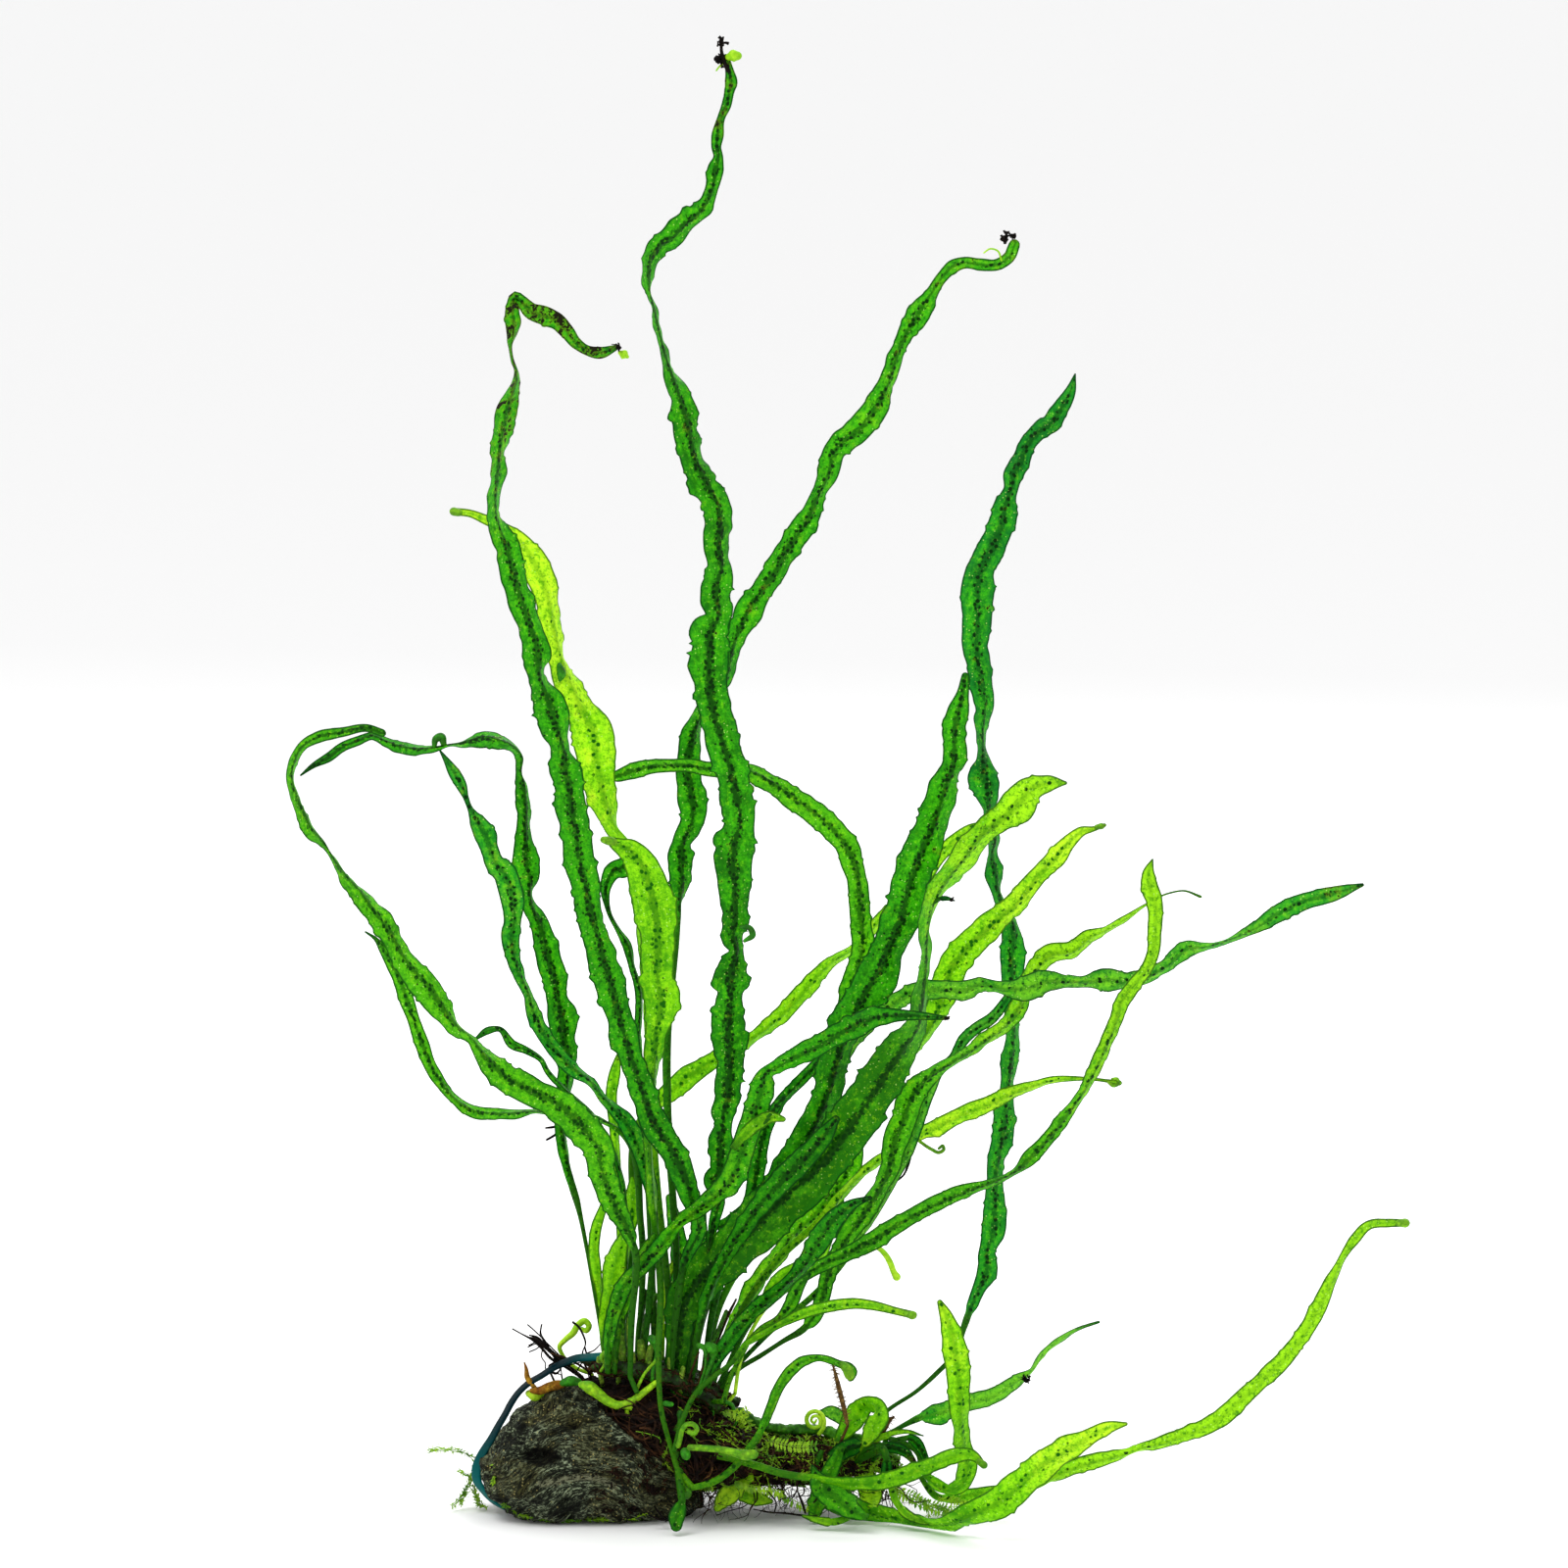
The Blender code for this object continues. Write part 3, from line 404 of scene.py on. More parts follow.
mat = fine_copy("root_mat", "root_felt", 0.00040, 2)
push_skin(mat, lambda place: 0.0010 * noise.fractal(place / 0.0028, 0.6, 2.2, 5) - 0.0006, 0.0003)
root_black = fibre_finish("black_root_felt", (0.0035, 0.0018, 0.0012, 1), (0.030, 0.0105, 0.0045, 1), 2600)
root_brown = fibre_finish("red_brown_root", (0.016, 0.0065, 0.0025, 1), (0.100, 0.040, 0.013, 1), 2600)
root_tan = fibre_finish("tan_root", (0.085, 0.040, 0.010, 1), (0.34, 0.19, 0.05, 1), 2600)
finish_piece(mat, root_black, "roots", "root_mat")

mat_low, mat_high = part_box("root_mat")
mat_tree = packed_tree("root_mat")
stone_tree = packed_tree("stone")


def random_way(x_range, y_range, z_range):
    """A direction of length 1 whose three parts are drawn from these ranges."""
    return Vector((chance.uniform(*x_range), chance.uniform(*y_range), chance.uniform(*z_range))).normalized()


def somewhere(columns, rows, depths):
    """A random place between two columns, two rows and two depths of the picture."""
    return in_space(chance.uniform(*columns), chance.uniform(*rows), chance.uniform(*depths))


def scattered_start():
    """A random place in the box round the root mat."""
    across = chance.uniform(mat_low.x, mat_high.x - 0.003)
    inward = chance.uniform(mat_low.y, mat_high.y) * 1.1
    return Vector((across, inward, chance.uniform(mat_low.z, mat_high.z)))


def fibre(surface, thick, start, length, lift, wander):
    """One root as a path and its radii, creeping off over a surface in a random direction."""
    way = random_way((-0.3, 1), (-0.7, 0.7), (-0.8, 0.5))
    path = creep(surface, start, way, length, lift, wander)
    return path, taper(len(path), thick)


def felted(count, thicks, lengths, lifts, wander):
    """Many roots on the mat, with random radii, lengths and heights above it."""
    roots = []
    for _ in range(count):
        thick, start = chance.choice(thicks), scattered_start()
        roots.append(fibre(mat_tree, thick, start, chance.uniform(*lengths), chance.uniform(*lifts), wander))
    return roots


black_roots = felted(520, [0.00010, 0.00016, 0.00024, 0.00034], (0.006, 0.024), (0.0, 0.0006), 0.5)
brown_roots = felted(460, [0.00008, 0.00011, 0.00016, 0.00024], (0.005, 0.018), (0.0001, 0.0010), 0.8)
tan_roots = felted(90, [0.00005, 0.00008], (0.003, 0.009), (0.0003, 0.0011), 1.0)

# Roots that leave the mat and run over the near and right faces of the stone.
for k in range(330):
    start = somewhere((606, 702), (1425, 1548), (-0.015, -0.006))
    if start.z > 0.012 and start.x < 0.003:
        continue
    thick = chance.choice([0.00009, 0.00014, 0.00022])
    root = fibre(stone_tree, thick, start, chance.uniform(0.003, 0.010), chance.uniform(0.0, 0.0004), 0.7)
    (black_roots if k % 3 else brown_roots).append(root)

# A fringe of thin ones that hangs from the mat's underside down to the ground.
for _ in range(150):
    place, path = somewhere((712, 918), (1505, 1522), (-0.011, 0.009)), []
    way = Vector((chance.uniform(-0.6, 1.0), chance.uniform(-0.4, 0.4), -1))
    while len(path) < 22 and place.z > 0.0003:
        path.append(place.copy())
        way = (way + noise.noise_vector(place / 0.0014) * 0.9 + Vector((0, 0, -0.05))).normalized()
        place = place + way * 0.0005
    if len(path) > 3:
        thick = chance.choice([0.00006, 0.00009, 0.00014])
        (black_roots if chance.random() < 0.6 else brown_roots).append((path, taper(len(path), thick)))
finish_piece(strand_mesh("black_roots", black_roots, 4), root_black, "roots")
finish_piece(strand_mesh("brown_roots", brown_roots, 4), root_brown, "roots")
finish_piece(strand_mesh("tan_roots", tan_roots, 4), root_tan, "roots")

# The rhizomes
# Creeping green stems as thick as a pencil lead, scaly and hairy, knobbled where old leaves
# broke off. Three lie side by side at the crown, and the others run over the mat and the stone.


def show_through(tree, share, skin, tissue):
    """Shows a skin that lets a share of the light through the tissue under it."""
    through = wire(tree, "BsdfTranslucent", tissue)
    show(tree, wire(tree, "MixShader", {0: share, 1: skin.outputs[0], 2: through.outputs[0]}))


def rhizome_finish(name, dark, light, scaly):
    """Green stem skin; scaly says how much of it brown scales and dark pits cover."""
    finish, tree = new_finish(name)
    where = wire(tree, "TexCoord").outputs["Object"]
    broad = speckle(tree, where, 420, 4, 0.6)
    fine = speckle(tree, where, 2200, 3, 0.6)
    scale, pick = cells(tree, where, 1500)
    colour = tint(tree, ease(tree, broad, 0.35, 0.65), dark, light)
    colour = tint(tree, ease(tree, fine, 0.55, 0.35, 0, 0.5), colour, dark)
    colour = tint(tree, ease(tree, scale, 0.30, 0.55, 0, scaly), colour, (0.008, 0.010, 0.003, 1))
    colour = tint(tree, ease(tree, pick, 0.80, 0.85, 0, scaly * 0.8), colour, (0.035, 0.016, 0.006, 1))
    height = minus(tree, broad, scale)
    skin = wire(tree, "BsdfPrincipled", {
        "Base Color": colour, "Roughness": 0.5, "Specular IOR Level": 0.15,
        "Normal": relief(tree, height, 0.3 + 0.8 * scaly, 0.0002)})
    show_through(tree, 0.15, skin, {"Color": colour})
    return finish


def drawn(depth, line, step=2.0):
    """A round-ended strand through traced (column, row, half width) points at one depth."""
    rows = smooth_route(line, step)
    path = [in_space(column, row, depth) for column, row, _ in rows]
    radii = [max(0.35, half) * PIXEL for _, _, half in rows]
    for first in (True, False):
        end, inner = (path[0], path[1]) if first else (path[-1], path[-2])
        out, thick = (end - inner).normalized(), radii[0 if first else -1]
        for reach, share in ((0.5, 0.85), (0.85, 0.5), (1.0, 0.1)):
            path.insert(0 if first else len(path), end + out * thick * reach)
            radii.insert(0 if first else len(radii), thick * share)
    path = [Vector((p.x, p.y, max(p.z, r + 0.0001))) for p, r in zip(path, radii)]
    return path, radii


def smooth_route(points, step=2.6):
    """One smooth curve through the traced points, with a row for every step of picture pixels."""
    points = np.array(points, float)
    spans = np.linalg.norm(np.diff(points[:, :2], axis=0), axis=1)
    slopes = np.gradient(points, np.concatenate([[0], np.cumsum(spans)]), axis=0)
    rows = []
    for i, span in enumerate(spans):
        count = max(2, math.ceil(span / step))
        t = (np.arange(count) / count)[:, None]
        curve = (2 * t**3 - 3 * t**2 + 1) * points[i] + (3 * t**2 - 2 * t**3) * points[i + 1]
        rows.append(curve + span * ((t**3 - 2 * t**2 + t) * slopes[i] + (t**3 - t**2) * slopes[i + 1]))
    return np.vstack(rows + [points[-1:]])


def depth_of(node):
    """How far behind the stone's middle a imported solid's own middle lies."""
    low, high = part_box(node)
    return (low.y + high.y) / 2


dark_rhizome = rhizome_finish("dark_scaly_rhizome", (0.005, 0.016, 0.002, 1), (0.030, 0.120, 0.008, 1), 0.6)
bright_rhizome = rhizome_finish("bright_smooth_rhizome", (0.13, 0.42, 0.006, 1), (0.42, 0.78, 0.012, 1), 0.25)
green_rhizome = rhizome_finish("green_rhizome", (0.014, 0.12, 0.004, 1), (0.09, 0.40, 0.008, 1), 0.35)
RHIZOMES = ["rhizome_main", "rhizome_near", "rhizome_back", "rhizome_right", "rhizome_shoot", "rhizome_front"]
for node in RHIZOMES[:4]:
    rhizome = fine_copy(node, node.replace("rhizome", "scaly_stem"), 0.00022, 2)
    push_skin(rhizome, lambda place: 0.00034 * noise.fractal(place / 0.0016, 0.7, 2.0, 3))
    finish_piece(rhizome, green_rhizome if node == "rhizome_right" else dark_rhizome, "rhizome", node)

# The bright shoot over the stone's top, and the stem down the stone's near face.
SHOOT = [
    [(594, 1413, 4), (600, 1415, 6.5), (609, 1421, 6), (619, 1429, 5), (632, 1434, 4.5), (646, 1429, 4),
     (658, 1420, 3.5), (669, 1411, 3)],
    [(634, 1434, 3.5), (645, 1436, 4), (654, 1440, 3), (661, 1445, 2)],
    [(650, 1417, 1.8), (657, 1403, 1.6), (669, 1388, 1.5)],
    [(640, 1440, 2.5), (641, 1445, 2.5)]]
FRONT_STEM = [
    [(694, 1442, 3.5), (695, 1452, 4), (690, 1463, 4.5), (688, 1475, 4.5), (691, 1487, 5),
     (695, 1500, 5.5), (697, 1513, 5.5), (700, 1524, 6)]]
shoot = strand_mesh("smooth_shoot", [drawn(depth_of("rhizome_shoot"), line) for line in SHOOT], 10)
finish_piece(shoot, bright_rhizome, "rhizome", "rhizome_shoot")
stem = strand_mesh("front_stem", [drawn(depth_of("rhizome_front"), line) for line in FRONT_STEM], 10)
finish_piece(stem, green_rhizome, "rhizome", "rhizome_front")

# The rubber tie
# A flat strap of glossy green-blue rubber, about 2 mm wide. It goes over the first rhizome,
# down the stone's left end and under it, and is pulled tight.


def tie_finish():
    finish, tree = new_finish("green_blue_rubber")
    where = wire(tree, "TexCoord").outputs["Object"]
    fine = speckle(tree, where, 900, 4, 0.6)
    # Painted light: the rubber is painted lighter and more teal towards both ends of the strap, for the light
    # that comes through it there, and near-black in the middle as painted shade.
    end = ease(tree, marked(tree, "end"), 0.0, 1.0)
    colour = tint(tree, end, (0.0008, 0.013, 0.018, 1), (0.002, 0.125, 0.120, 1))
    colour = tint(tree, ease(tree, fine, 0.60, 0.75, 0, 0.3), colour, (0.03, 0.10, 0.06, 1))
    skin = wire(tree, "BsdfPrincipled", {
        "Base Color": colour, "Roughness": ease(tree, fine, 0.3, 0.7, 0.22, 0.40),
        "Specular IOR Level": 0.03, "Normal": relief(tree, fine, 0.2, 0.0001)})
    show_through(tree, 0.15, skin, {"Color": colour})
    return finish


def above(height, points):
    """The same points, none of them lower than a height."""
    return [Vector((p.x, p.y, max(p.z, height))) for p in points]


def squared(value, power):
    """A cosine or a sine pushed out towards 1, for a ring with flat sides."""
    return math.copysign(abs(value) ** power, value)


# Each row: column, row, and how far the strap's flat side is turned towards the eye, in degrees.
TIE = [(614, 1384, 30), (600, 1385, 30), (588, 1386, 28), (577, 1390, 26), (566, 1395, 24),
       (552, 1404, 22), (540, 1411, 22), (530, 1420, 22), (522, 1431, 24), (515, 1444, 24),
       (508, 1456, 26), (501, 1469, 30), (494, 1480, 34), (489, 1490, 40), (486, 1501, 42),
       (487, 1511, 34), (493, 1521, 22), (503, 1532, 10), (518, 1541, 4)]
TIE_DEPTH = -0.0030
TIE_HALF_WIDTH = 0.00100
TIE_HALF_THICKNESS = 0.00024
TIE_SIDES = 16
band = smooth_route(TIE, 1.6)
places = [in_space(column, row, TIE_DEPTH) for column, row, _ in band]
angles = [2 * math.pi * (k + 0.5) / TIE_SIDES for k in range(TIE_SIDES)]
rim = [(squared(math.cos(angle), 0.35), squared(math.sin(angle), 0.6)) for angle in angles]
points, faces, ends = [], [], []
for i, place in enumerate(places):
    way = (places[min(i + 1, len(places) - 1)] - places[max(i - 1, 0)]).normalized()
    across = way.cross(place - EYE).normalized()
    facing = across.cross(way)
    turn = math.radians(band[i][2])
    wide = (facing * math.cos(turn) - across * math.sin(turn)) * TIE_HALF_WIDTH
    thick = (across * math.cos(turn) + facing * math.sin(turn)) * TIE_HALF_THICKNESS
    points += [place + wide * w + thick * t for w, t in rim]
    # How much painted through-light each ring gets: most at the strap's two ends.
    share = i / (len(places) - 1)
    ends += [max(0.8 - share * 4.5, 2.2 * share - 1.1, 0.0)] * TIE_SIDES
    if i:
        faces += between_rings((i - 1) * TIE_SIDES, i * TIE_SIDES, TIE_SIDES)
faces.append(tuple(reversed(range(TIE_SIDES))))
faces.append(tuple(range(len(points) - TIE_SIDES, len(points))))
tie = new_piece("rubber_tie", above(0.0003, points), faces)
mark(tie.data, "end", ends)
finish_piece(tie, tie_finish(), "tie_rubber", "tie_band")

# The leaves
# Narrow blades of thin, see-through tissue with a ruffled edge, on wiry stalks. Old ones are dark
# green with a near-black rib and double rows of brown spore dots along it, and young ones bright.


def leaf_finish(name, shade, body, glow, rim, rim_share):
    """Leaf tissue from its darkest to its brightest green; marks on the mesh say what lies where."""
    finish, tree = new_finish(name)
    where = wire(tree, "TexCoord").outputs["Object"]
    across = marked(tree, "aside")
    aside = maths(tree, "ABSOLUTE", across)
    inward, along = marked(tree, "inward"), marked(tree, "along")
    youth, spots, decay = marked(tree, "youth"), marked(tree, "spots"), marked(tree, "decay")
    broad = minus(tree, speckle(tree, where, 170, 3, 0.6), 0.5)
    cloud = minus(tree, speckle(tree, where, 620, 3, 0.65), 0.5)
    grain = speckle(tree, where, 1500, 4, 0.8)
    stretched = {0: times(tree, across, 2400), 1: times(tree, along, 240)}
    lengthwise = wire(tree, "CombineXYZ", stretched).outputs[0]
    streak = minus(tree, speckle(tree, lengthwise, 1, 3, 0.6), 0.5)
    dot, pick = cells(tree, where, 1250)
    bead, chosen = cells(tree, where, 1450)
    glint, lucky = cells(tree, where, 2300)

    uneven = plus(tree, times(tree, streak, 0.6), times(tree, cloud, 1.1))
    patchy = plus(tree, youth, plus(tree, broad, uneven))
    colour = tint(tree, ease(tree, patchy, -0.25, 0.40), shade, body)
    colour = tint(tree, ease(tree, patchy, 0.35, 1.05), colour, glow)
    colour = tint(tree, ease(tree, grain, 0.55, 0.34, 0, 0.85), colour, shade)
    colour = tint(tree, ease(tree, grain, 0.55, 0.70, 0, 0.55), colour, glow)
    colour = tint(tree, ease(tree, aside, 0.0011, 0.0001, 0, 0.40), colour, shade)
    colour = tint(tree, ease(tree, inward, 0.0014, 0.0002, 0, rim_share), colour, rim)
    # Painted highlights: tiny pale yellow-green glints scattered over the blade.
    painted_glints = times(tree, ease(tree, glint, 0.30, 0.14), ease(tree, lucky, 0.82, 0.84, 0, 0.55))
    colour = tint(tree, painted_glints, colour, (0.60, 0.92, 0.20, 1))

    ink = tuple(v * (0.08 + 0.9 * v) for v in shade[:3]) + (1,)
    plenty = times(tree, spots, minus(tree, 1.25, youth))
    some = ease(tree, plus(tree, pick, times(tree, plenty, 0.10)), 0.98, 1.0)
    colour = tint(tree, times(tree, ease(tree, dot, 0.27, 0.13), some), colour, ink)
    rough = plus(tree, times(tree, grain, 0.0020), times(tree, broad, 0.0012))
    ragged = minus(tree, plus(tree, aside, rough), 0.0010)
    band = faded(shade, 0.40)
    colour = tint(tree, times(tree, ease(tree, ragged, 0.00066, 0.00030, 0, 0.76), plenty), colour, band)
    many = ease(tree, plus(tree, chosen, times(tree, plenty, 0.72)), 0.98, 1.0)
    beads = times(tree, ease(tree, bead, 0.58, 0.38), ease(tree, ragged, 0.0010, 0.0006))
    colour = tint(tree, times(tree, beads, many), colour, ink)
    # Painted shade: a thin dark outline along each margin, for the dark edge that the light bending at the
    # margin gives.
    colour = tint(tree, ease(tree, inward, 0.00036, 0.00014, 0, 0.85), colour, faded(rim, 0.22))

    scaly = tint(tree, ease(tree, dot, 0.35, 0.20, 0, 0.7), (0.030, 0.18, 0.005, 1), (0.006, 0.035, 0.002, 1))
    scaly = tint(tree, ease(tree, grain, 0.58, 0.74, 0, 0.5), scaly, (0.16, 0.44, 0.02, 1))
    colour = tint(tree, ease(tree, marked(tree, "stalk"), 0.1, 0.8, 0, 0.9), colour, scaly)
    wear = plus(tree, times(tree, cloud, 2.4), times(tree, grain, 0.8))
    rotten = plus(tree, decay, wear)
    colour = tint(tree, ease(tree, rotten, 0.65, 0.95, 0, 0.25), colour, (0.20, 0.34, 0.008, 1))
    colour = tint(tree, ease(tree, rotten, 0.95, 1.04), colour, (0.010, 0.010, 0.003, 1))
    normal = relief(tree, grain, 0.3, 0.0002)
    skin = wire(tree, "BsdfPrincipled", {
        "Base Color": colour, "Roughness": 0.42, "Specular IOR Level": 0.10, "Normal": normal})
    show_through(tree, 0.5, skin, {"Color": colour, "Normal": normal})
    return finish


OLD = leaf_finish("old_leaf_green", (0.008, 0.12, 0.001, 1), (0.042, 0.40, 0.003, 1), (0.22, 0.70, 0.006, 1),
                  (0.003, 0.16, 0.008, 1), 0.35)
GREEN = leaf_finish("leaf_green", (0.018, 0.17, 0.001, 1), (0.09, 0.49, 0.004, 1), (0.36, 0.80, 0.008, 1),
                    (0.008, 0.21, 0.010, 1), 0.25)
YOUNG = leaf_finish("young_leaf_green", (0.05, 0.29, 0.001, 1), (0.24, 0.69, 0.004, 1), (0.58, 0.95, 0.02, 1),
                    (0.06, 0.36, 0.01, 1), 0.20)
TEAL = leaf_finish("teal_leaf_green", (0.003, 0.11, 0.008, 1), (0.030, 0.38, 0.006, 1),
                   (0.22, 0.68, 0.018, 1),
                   (0.003, 0.17, 0.020, 1), 0.50)
DARK = leaf_finish("dark_leaf_green", (0.006, 0.10, 0.002, 1), (0.032, 0.34, 0.004, 1), (0.18, 0.62, 0.01, 1),
                   (0.0, 0.14, 0.012, 1), 0.35)
SLOTS = {OLD: "old_leaf", GREEN: "green_leaf", YOUNG: "young_leaf", TEAL: "teal_leaf", DARK: "teal_leaf"}

carrier = packed_tree("stone", "root_mat", *RHIZOMES)


def ripple(along, length, seed):
    """Smooth random waves of about that length, between -1 and 1."""
    values = np.random.default_rng(seed).uniform(-1, 1, int(along.max() / length) + 3)
    low = (along / length).astype(int)
    share = along / length - low
    share = share * share * (3 - 2 * share)
    return values[low] * (1 - share) + values[low + 1] * share


def smooth_step(value):
    value = np.clip(value, 0, 1)
    return value * value * (3 - 2 * value)


def unit(vectors):
    return vectors / np.maximum(np.linalg.norm(vectors, axis=1, keepdims=True), 1e-12)


CROWN_COLUMN = 700
CROWN_ROW = 1400


def leaning(lane, column, row):
    """How far behind the stone's middle a leaf's lane lies there; lanes spread out from the crown."""
    away = np.hypot(column - CROWN_COLUMN, row - CROWN_ROW)
    return lane * (0.0005 + 0.015 * away * PIXEL)


POINTS_ACROSS = 15
STEEPEST_TURN = math.radians(72)
FOLD = 0.25
LOWEST_LEAF = 0.0005
SUNK_IN = 0.0003


def leaf(name, finish, lane, blade, route, youth, spots=1.0, decay=(0.0, 0.0, 0.0),
         foot=(0.0, 1.0), frill=1.0, rooted=True, node=None):
    """A leaf from tip to foot. The lane says how far forward it leans, blade is its real half width.

    Youth is given at the tip, the middle and the foot, and decay at three places near the tip.
    """
    fine = smooth_route(route)
    half_seen = np.maximum(fine[:, 2], 0.8) * PIXEL
    flat = fine[:, :2] * PIXEL
    steps = np.linalg.norm(np.diff(flat, axis=0), axis=1)
    from_tip = np.concatenate([[0], np.cumsum(steps)])
    from_foot = from_tip[-1] - from_tip
    share = from_foot / from_foot[0]
    depth = leaning(lane, fine[:, 0], fine[:, 1]) + foot[0] * (1 - smooth_step(2 * from_foot / foot[1] - 1))
    places = [in_space(column, row, y) for (column, row, _), y in zip(fine, depth)]
    end, out, blunt = places[0], (places[0] - places[1]).normalized(), half_seen[0]
    places = [end + out * blunt * reach for reach in (1.0, 0.85, 0.5)] + places
    half_seen = np.concatenate([[0.00005, blunt * 0.5, blunt * 0.85], half_seen])
    share = np.concatenate([[1.0] * 3, share])
    if rooted:
        near, normal, _, gap = carrier.find_nearest(places[-1])
        end = near - normal * SUNK_IN
        count = max(1, math.ceil(gap / 0.0005))
        places += [places[-1].lerp(end, (i + 1) / count) for i in range(count)]
        half_seen = np.concatenate([half_seen, np.full(count, half_seen[-1])])
        share = np.concatenate([share, np.zeros(count)])
    places = np.array([tuple(place) for place in places])
    along = np.concatenate([[0], np.cumsum(np.linalg.norm(np.diff(places, axis=0), axis=1))])
    flatness = smooth_step(share / 0.35) * smooth_step((1 - share) / 0.2)
    half_real = np.maximum(half_seen, blade * PIXEL * flatness)
    turn = np.minimum(np.arccos(np.minimum(1, half_seen / half_real)), STEEPEST_TURN)
    turn = np.convolve(np.pad(turn, 3, mode="edge"), np.ones(7) / 7, mode="valid")
    half = np.maximum(half_seen, np.minimum(half_real, half_seen / np.cos(turn)))
    way = unit(np.gradient(places, axis=0))
    across = unit(np.cross(way, unit(places - np.array(EYE))))
    facing = unit(np.cross(across, way))
    cos, sin = np.cos(turn)[:, None], np.sin(turn)[:, None]
    side, out = across * cos + facing * sin, facing * cos - across * sin
    seed = sum(ord(letter) * (i + 3) for i, letter in enumerate(name))
    u = np.linspace(-1, 1, POINTS_ACROSS)[None, :]
    size = np.minimum(half, 0.0022)
    rough = np.clip(half / 0.0009 - 0.6, 0, 1) * frill
    halves, waves = [], []
    for k in (0, 1):
        teeth = np.maximum(ripple(along, 0.0008, seed + 31 + k) - 0.4, 0) * 0.30
        ruffle = 0.09 * ripple(along, 0.0031, seed + k) + 0.05 * ripple(along, 0.0012, seed + 5 + k)
        swing = 0.20 * ripple(along, 0.0033, seed + 11 + k) + 0.07 * ripple(along, 0.0015, seed + 17 + k)
        halves.append((half * (1 + rough * (ruffle + teeth)))[:, None])
        waves.append((size * rough * swing)[:, None])
    wide = np.where(u < 0, *halves)
    wave = np.where(u < 0, *waves)
    x = u * wide
    bend = FOLD * (0.7 + 0.6 * ripple(along, 0.012, seed + 23))
    y = np.abs(u) ** 1.3 * (half * bend)[:, None] + wave * u**2 - 0.00010 * np.exp(-((x / 0.00025) ** 2))
    tube = smooth_step((6.5 * PIXEL - half_seen) / (2.5 * PIXEL)) * smooth_step((0.45 - share) / 0.1)
    radius = (half_seen * 0.9)[:, None]
    mix = tube[:, None]
    x = x * (1 - mix) + np.sin(math.pi * u) * radius * mix
    y = y * (1 - mix) - np.cos(math.pi * u) * radius * mix
    points = places[:, None, :] + side[:, None, :] * x[..., None] + out[:, None, :] * y[..., None]
    points[..., 2] = np.maximum(points[..., 2], LOWEST_LEAF)
    rows, wide_count = points.shape[:2]
    corner = (np.arange(rows - 1)[:, None] * wide_count + np.arange(wide_count - 1)[None, :]).ravel()
    faces = np.stack([corner, corner + 1, corner + wide_count + 1, corner + wide_count], axis=1)
    piece = new_piece(name, points.reshape(-1, 3).tolist(), faces.tolist())
    level = np.ones_like(u)
    fresh = np.interp(1 - share, (0.0, 0.5, 1.0), youth)[:, None]
    rot = np.interp(1 - share, (0.0, 0.07, 0.18, 0.30), (*decay, 0.0))[:, None]
    marks = {
        "aside": u * wide * np.clip(0.0020 / half, 1, 2.2)[:, None],
        "inward": (1 - np.abs(u)) * wide + mix * 0.001,
        "along": along[:, None] * level,
        "youth": fresh * level,
        "decay": rot * level,
        "spots": np.full((rows, u.size), spots),
        "stalk": mix * level * (1 - fresh)}
    for label, values in marks.items():
        mark(piece.data, label, values.ravel())
    finish_piece(piece, finish, SLOTS[finish], *([node] if node else []))


# The tall leaves
# The four longest, which stand up from the crown. The three old ones have lost their tips to rot,
# and their upper halves are narrow and twisted.

leaf("tall_centre", OLD, -7.5, 17, [
    (741, 58, 3), (744, 70, 4), (746, 85, 6), (744, 95, 5), (741, 108, 5), (736, 120, 4), (732, 140, 6),
    (731, 150, 5), (733, 160, 5), (731, 170, 8), (727, 192, 7), (722, 205, 7), (715, 215, 9),
    (700, 228, 9), (686, 242, 9), (674, 250, 9), (665, 262, 9), (662, 285, 7), (663, 297, 3),
    (666, 310, 4), (669, 322, 5), (672, 335, 4), (680, 365, 5), (685, 380, 7), (690, 395, 10),
    (701, 430, 12), (710, 470, 12), (717, 485, 13), (725, 500, 14), (733, 515, 13), (735, 530, 12),
    (734, 560, 14), (736, 575, 12), (731, 602, 16), (733, 630, 12), (725, 645, 20), (724, 660, 21),
    (723, 690, 17), (727, 720, 17), (738, 760, 17), (750, 805, 17), (755, 840, 16), (750, 860, 20),
    (748, 880, 18), (749, 895, 19), (750, 925, 15), (750, 940, 14), (748, 955, 12), (752, 968, 7),
    (750, 980, 12), (746, 995, 18), (746, 1010, 15), (743, 1050, 17), (744, 1070, 17), (745, 1090, 14),
    (743, 1105, 16), (743, 1120, 13), (738, 1135, 14), (738, 1150, 10), (735, 1165, 14), (735, 1180, 11),
    (733, 1195, 9), (727, 1205, 9), (733, 1220, 7), (728, 1250, 6), (715, 1320, 4), (704, 1370, 4),
    (700, 1415, 3)],
    youth=(0.3, 0.12, 0.05), decay=(0.35, 0.1, 0.0), frill=1.5, node="leaf_tall_centre")
